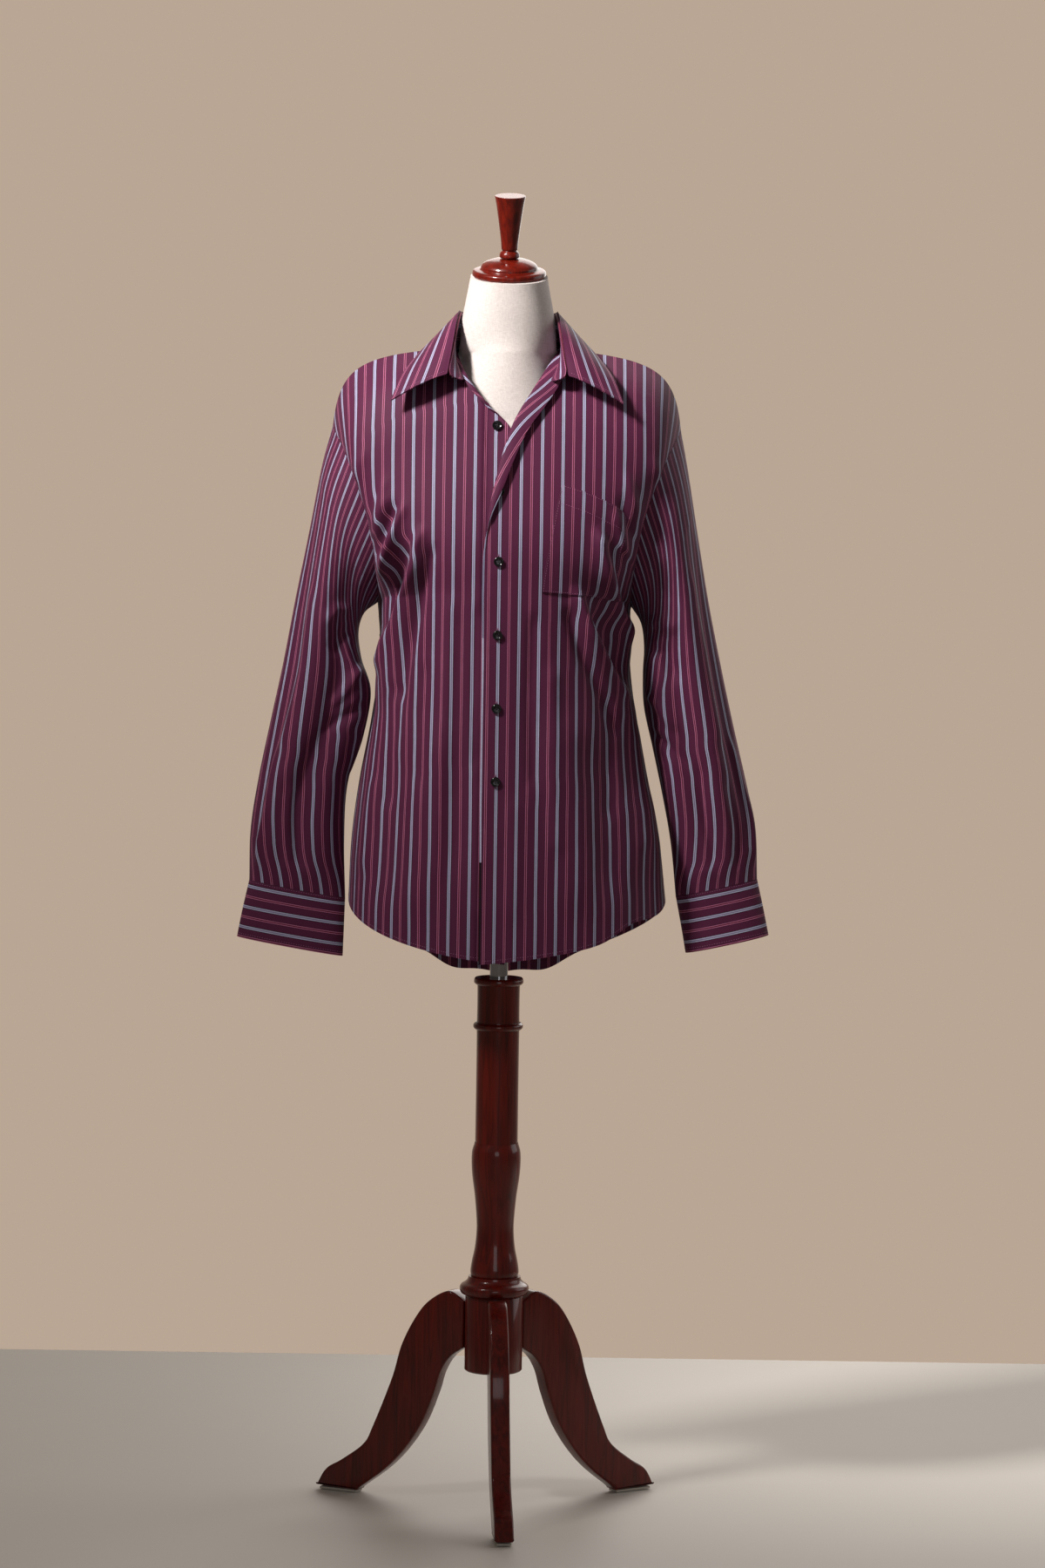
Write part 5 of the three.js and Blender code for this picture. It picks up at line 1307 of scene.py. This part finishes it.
def make_torso():
    sides, rings = 120, 150
    v = np.linspace(0, 1, rings)[:, None]
    angle = 2 * np.pi * np.arange(sides)[None, :] / sides
    z, half, front, back, slope = tracks(FORM_ROWS, "z half front back slope", v)
    slack = 2.0 * smooth(1404, 1380, z)
    x = squarish(np.cos(angle)) * (half - slack + 2.8 * smooth(1480, 1425, z) * smooth(1390, 1404, z))
    y = squarish(np.sin(angle)) * ((back - front) / 2 - slack)
    grid = points(x, neck_foot(x, (front + back) / 2 + y, z), z + slope * y)
    for _ in range(NECK_SMOOTHING_PASSES):
        up = grid[:-2] + grid[2:] - 2 * grid[1:-1]
        around = np.roll(grid, 1, 1) + np.roll(grid, -1, 1) - 2 * grid
        grid[1:-1] += (up / 4 + around[1:-1] / 14) * smooth(1400, 1412, grid[1:-1, :, 2:])
    faces, _ = grid_faces(rings, sides, True)
    torso = closed_object("torso_cover", grid.reshape(-1, 3), faces, sides, COTTON)
    finish_piece(torso, "form", "form_cloth", "form_torso")


def closed_object(name, vertices, faces, sides, material_used):
    """Closes the first and last ring of a tube with a fan of triangles to its middle."""
    count = len(vertices)
    vertices = np.concatenate([vertices, [vertices[:sides].mean(0), vertices[-sides:].mean(0)]])
    caps = [(count, (k + 1) % sides, k) for k in range(sides)]
    caps += [(count + 1, count - sides + k, count - sides + (k + 1) % sides) for k in range(sides)]
    return new_object(name, place(vertices), faces.tolist() + caps, material_used)


def make_base_plate():
    row = {key: values[0] for key, values in FORM_ROWS.items()}
    half, front, back = row["half"] - 6, row["front"] + 6, row["back"] - 6
    sides = 96
    angle = 2 * np.pi * np.arange(sides) / sides
    x = squarish(np.cos(angle)) * half
    y = (front + back) / 2 + squarish(np.sin(angle)) * (back - front) / 2
    vertices = np.concatenate([points(x, y, 713), points(x, y, 721.7)])
    faces, _ = grid_faces(2, sides, True)
    caps = [tuple(range(sides))[::-1], tuple(range(sides, 2 * sides))]
    base = new_object("base_plate", place(vertices), faces.tolist() + caps, WOOD)
    finish_piece(base, "form", "wood", "form_base")


def make_turned():
    """Every turned piece, from the neck's cap down to the hub of the legs."""
    still = Matrix.Identity(4)
    middle = (FORM_ROWS["front"][-1] + FORM_ROWS["back"][-1]) / 2
    head = Matrix.Translation((0, middle, FORM_ROWS["z"][-1])) @ Matrix.Rotation(FORM_LEAN, 4, "X")
    back_facing = Matrix.Translation((0, 0, SCREW_HEIGHT)) @ Matrix.Rotation(-math.pi / 2, 4, "X")
    for name, body, slot, replaced, profile, count, sides, transform in (
        ("turned_cap", "form", "wood", "neck_cap", CAP_PROFILE, 60, 64, head),
        ("turned_finial", "form", "wood", "finial", FINIAL_PROFILE, 70, 64, head),
        ("steel_pole", "form", "chrome", "pole", POLE_PROFILE, 0, 64, still),
        ("turned_column", "stand", "wood", "column", COLUMN_PROFILE, 200, 72, still),
        ("turned_base_ring", "stand", "wood", "base_ring", BASE_RING_PROFILE, 50, 72, still),
        ("turned_hub", "stand", "wood", "hub", HUB_PROFILE, 0, 64, still),
        ("clamp_screw", "stand", "chrome", "height_screw", SCREW_PROFILE, 40, 32, back_facing),
    ):
        shape = fine_profile(profile, count) if count else profile
        bore = POLE_BORE if name == "turned_column" else 0
        shape = [(bore, shape[0][1]), *shape, (bore, shape[-1][1])]
        if bore:
            shape.append(shape[0])
        piece = lathe(name, shape, sides, WOOD if slot == "wood" else CHROME, transform)
        finish_piece(piece, body, slot, replaced)


def make_legs():
    outline = np.array(fine_profile(LEG_TOP, 90) + fine_profile(LEG_UNDER, 70))
    count = len(outline)
    ahead = np.roll(outline, -1, 0) - np.roll(outline, 1, 0)
    inward = unit(np.stack([ahead[:, 1], -ahead[:, 0]], -1))
    bevel = LEG_BEVEL * (1 - np.sin(np.linspace(0, np.pi / 2, 6)))
    depth = -LEG_THICKNESS / 2 + LEG_BEVEL * (1 - np.cos(np.linspace(0, np.pi / 2, 6)))
    layers = [*zip(bevel, depth), *zip(bevel[::-1], -depth[::-1])]
    edges = [(outline + inward * inset, across) for inset, across in layers]
    vertices = np.concatenate([points(edge[:, 0], across, edge[:, 1]) for edge, across in edges])
    faces, _ = grid_faces(len(layers), count, True)
    caps = [tuple(range(count))[::-1], tuple(range((len(layers) - 1) * count, len(layers) * count))]
    for number in (1, 2, 3):
        turn = Matrix.Rotation(math.radians(-90 + LEG_TURN + (number - 1) * 120), 4, "Z")
        turned = place(np.array([turn @ Vector(v) for v in vertices]))
        leg = new_object(f"shaped_leg_{number}", turned, faces.tolist() + caps, WOOD, sharp=50)
        finish_piece(leg, "stand", "wood", f"leg_{number}")
        pad = frame["nodes"][f"foot_pad_{number}"]
        pad.data.materials.clear()
        pad.data.materials.append(FELT)


# Camera, floor and light

def make_studio():
    scene = bpy.context.scene
    scene.view_settings.view_transform = "Standard"
    data = bpy.data.cameras.new("camera")
    data.sensor_fit = "AUTO"
    data.sensor_width = 36
    data.lens = data.sensor_width * FOCAL_PIXELS / FRAME_PIXELS
    camera = bpy.data.objects.new("camera", data)
    scene.collection.objects.link(camera)
    yaw = Matrix.Rotation(-AIM_PIXELS / FOCAL_PIXELS, 4, "Z")
    pitch = Matrix.Rotation(math.pi / 2 - math.atan(CAMERA_FALL), 4, "X")
    roll = Matrix.Rotation(CAMERA_ROLL, 4, "Z")
    camera.matrix_world = Matrix.Translation(Vector(place(CAMERA_PLACE))) @ (yaw @ pitch @ roll)
    scene.camera = camera

    pale = noise_material("pale floor", 0.6, shades(srgb(224, 217, 208), 0.97), 6.0, (0.001, 0.05))
    corners = [(-9000, -8000, -1), (9000, -8000, -1), (9000, 1030, -1), (-9000, 1030, -1)]
    floor = new_object("studio_floor", place(corners), [(0, 1, 2, 3)], pale)

    world = bpy.data.worlds.new("studio")
    scene.world = world
    world.use_nodes = True
    tree = world.node_tree
    split = node(tree, "SeparateXYZ", node(tree, "TexCoord").outputs["Generated"])
    behind = node(tree, "MapRange", split.outputs[1], From_Min=0.55, From_Max=0.95)
    sky = ramp(tree, behind, [(0.0, srgb(98, 93, 88)), (1.0, srgb(186, 166, 148))])
    tree.links.new(sky.outputs[0], tree.nodes["Background"].inputs[0])
    tree.nodes["Background"].inputs[1].default_value = 1.0

    for name, where, target, size, power, color, spread in (
        ("key", (-1750, -1550, 3250), (20, 0, 1530), 0.5, 8.6, (1.0, 0.97, 0.94), 35),
        ("fill", (300, -5200, 1500), (0, 0, 1100), 1.6, 4.2, (0.98, 0.98, 1.0), 100),
        ("side", (3100, 800, 1900), (0, 0, 1000), 2.4, 8, (1.0, 0.98, 0.97), 100),
        ("rim", (900, 3100, 2500), (0, 0, 1100), 3.0, 28, (1.0, 0.98, 0.96), 120),
    ):
        light = bpy.data.lights.new(name, "AREA")
        light.shape, light.size, light.energy, light.color = "SQUARE", size, power, color
        light.spread = math.radians(spread)
        lamp = bpy.data.objects.new(name, light)
        lamp.location = Vector(place(where))
        lamp.rotation_mode = "QUATERNION"
        lamp.rotation_quaternion = (Vector(place(target)) - lamp.location).to_track_quat("-Z", "Y")
        scene.collection.objects.link(lamp)


make_studio()
PIECES = make_shirt()
make_stitches()
make_buttons()
make_torso()
make_base_plate()
make_turned()
make_legs()
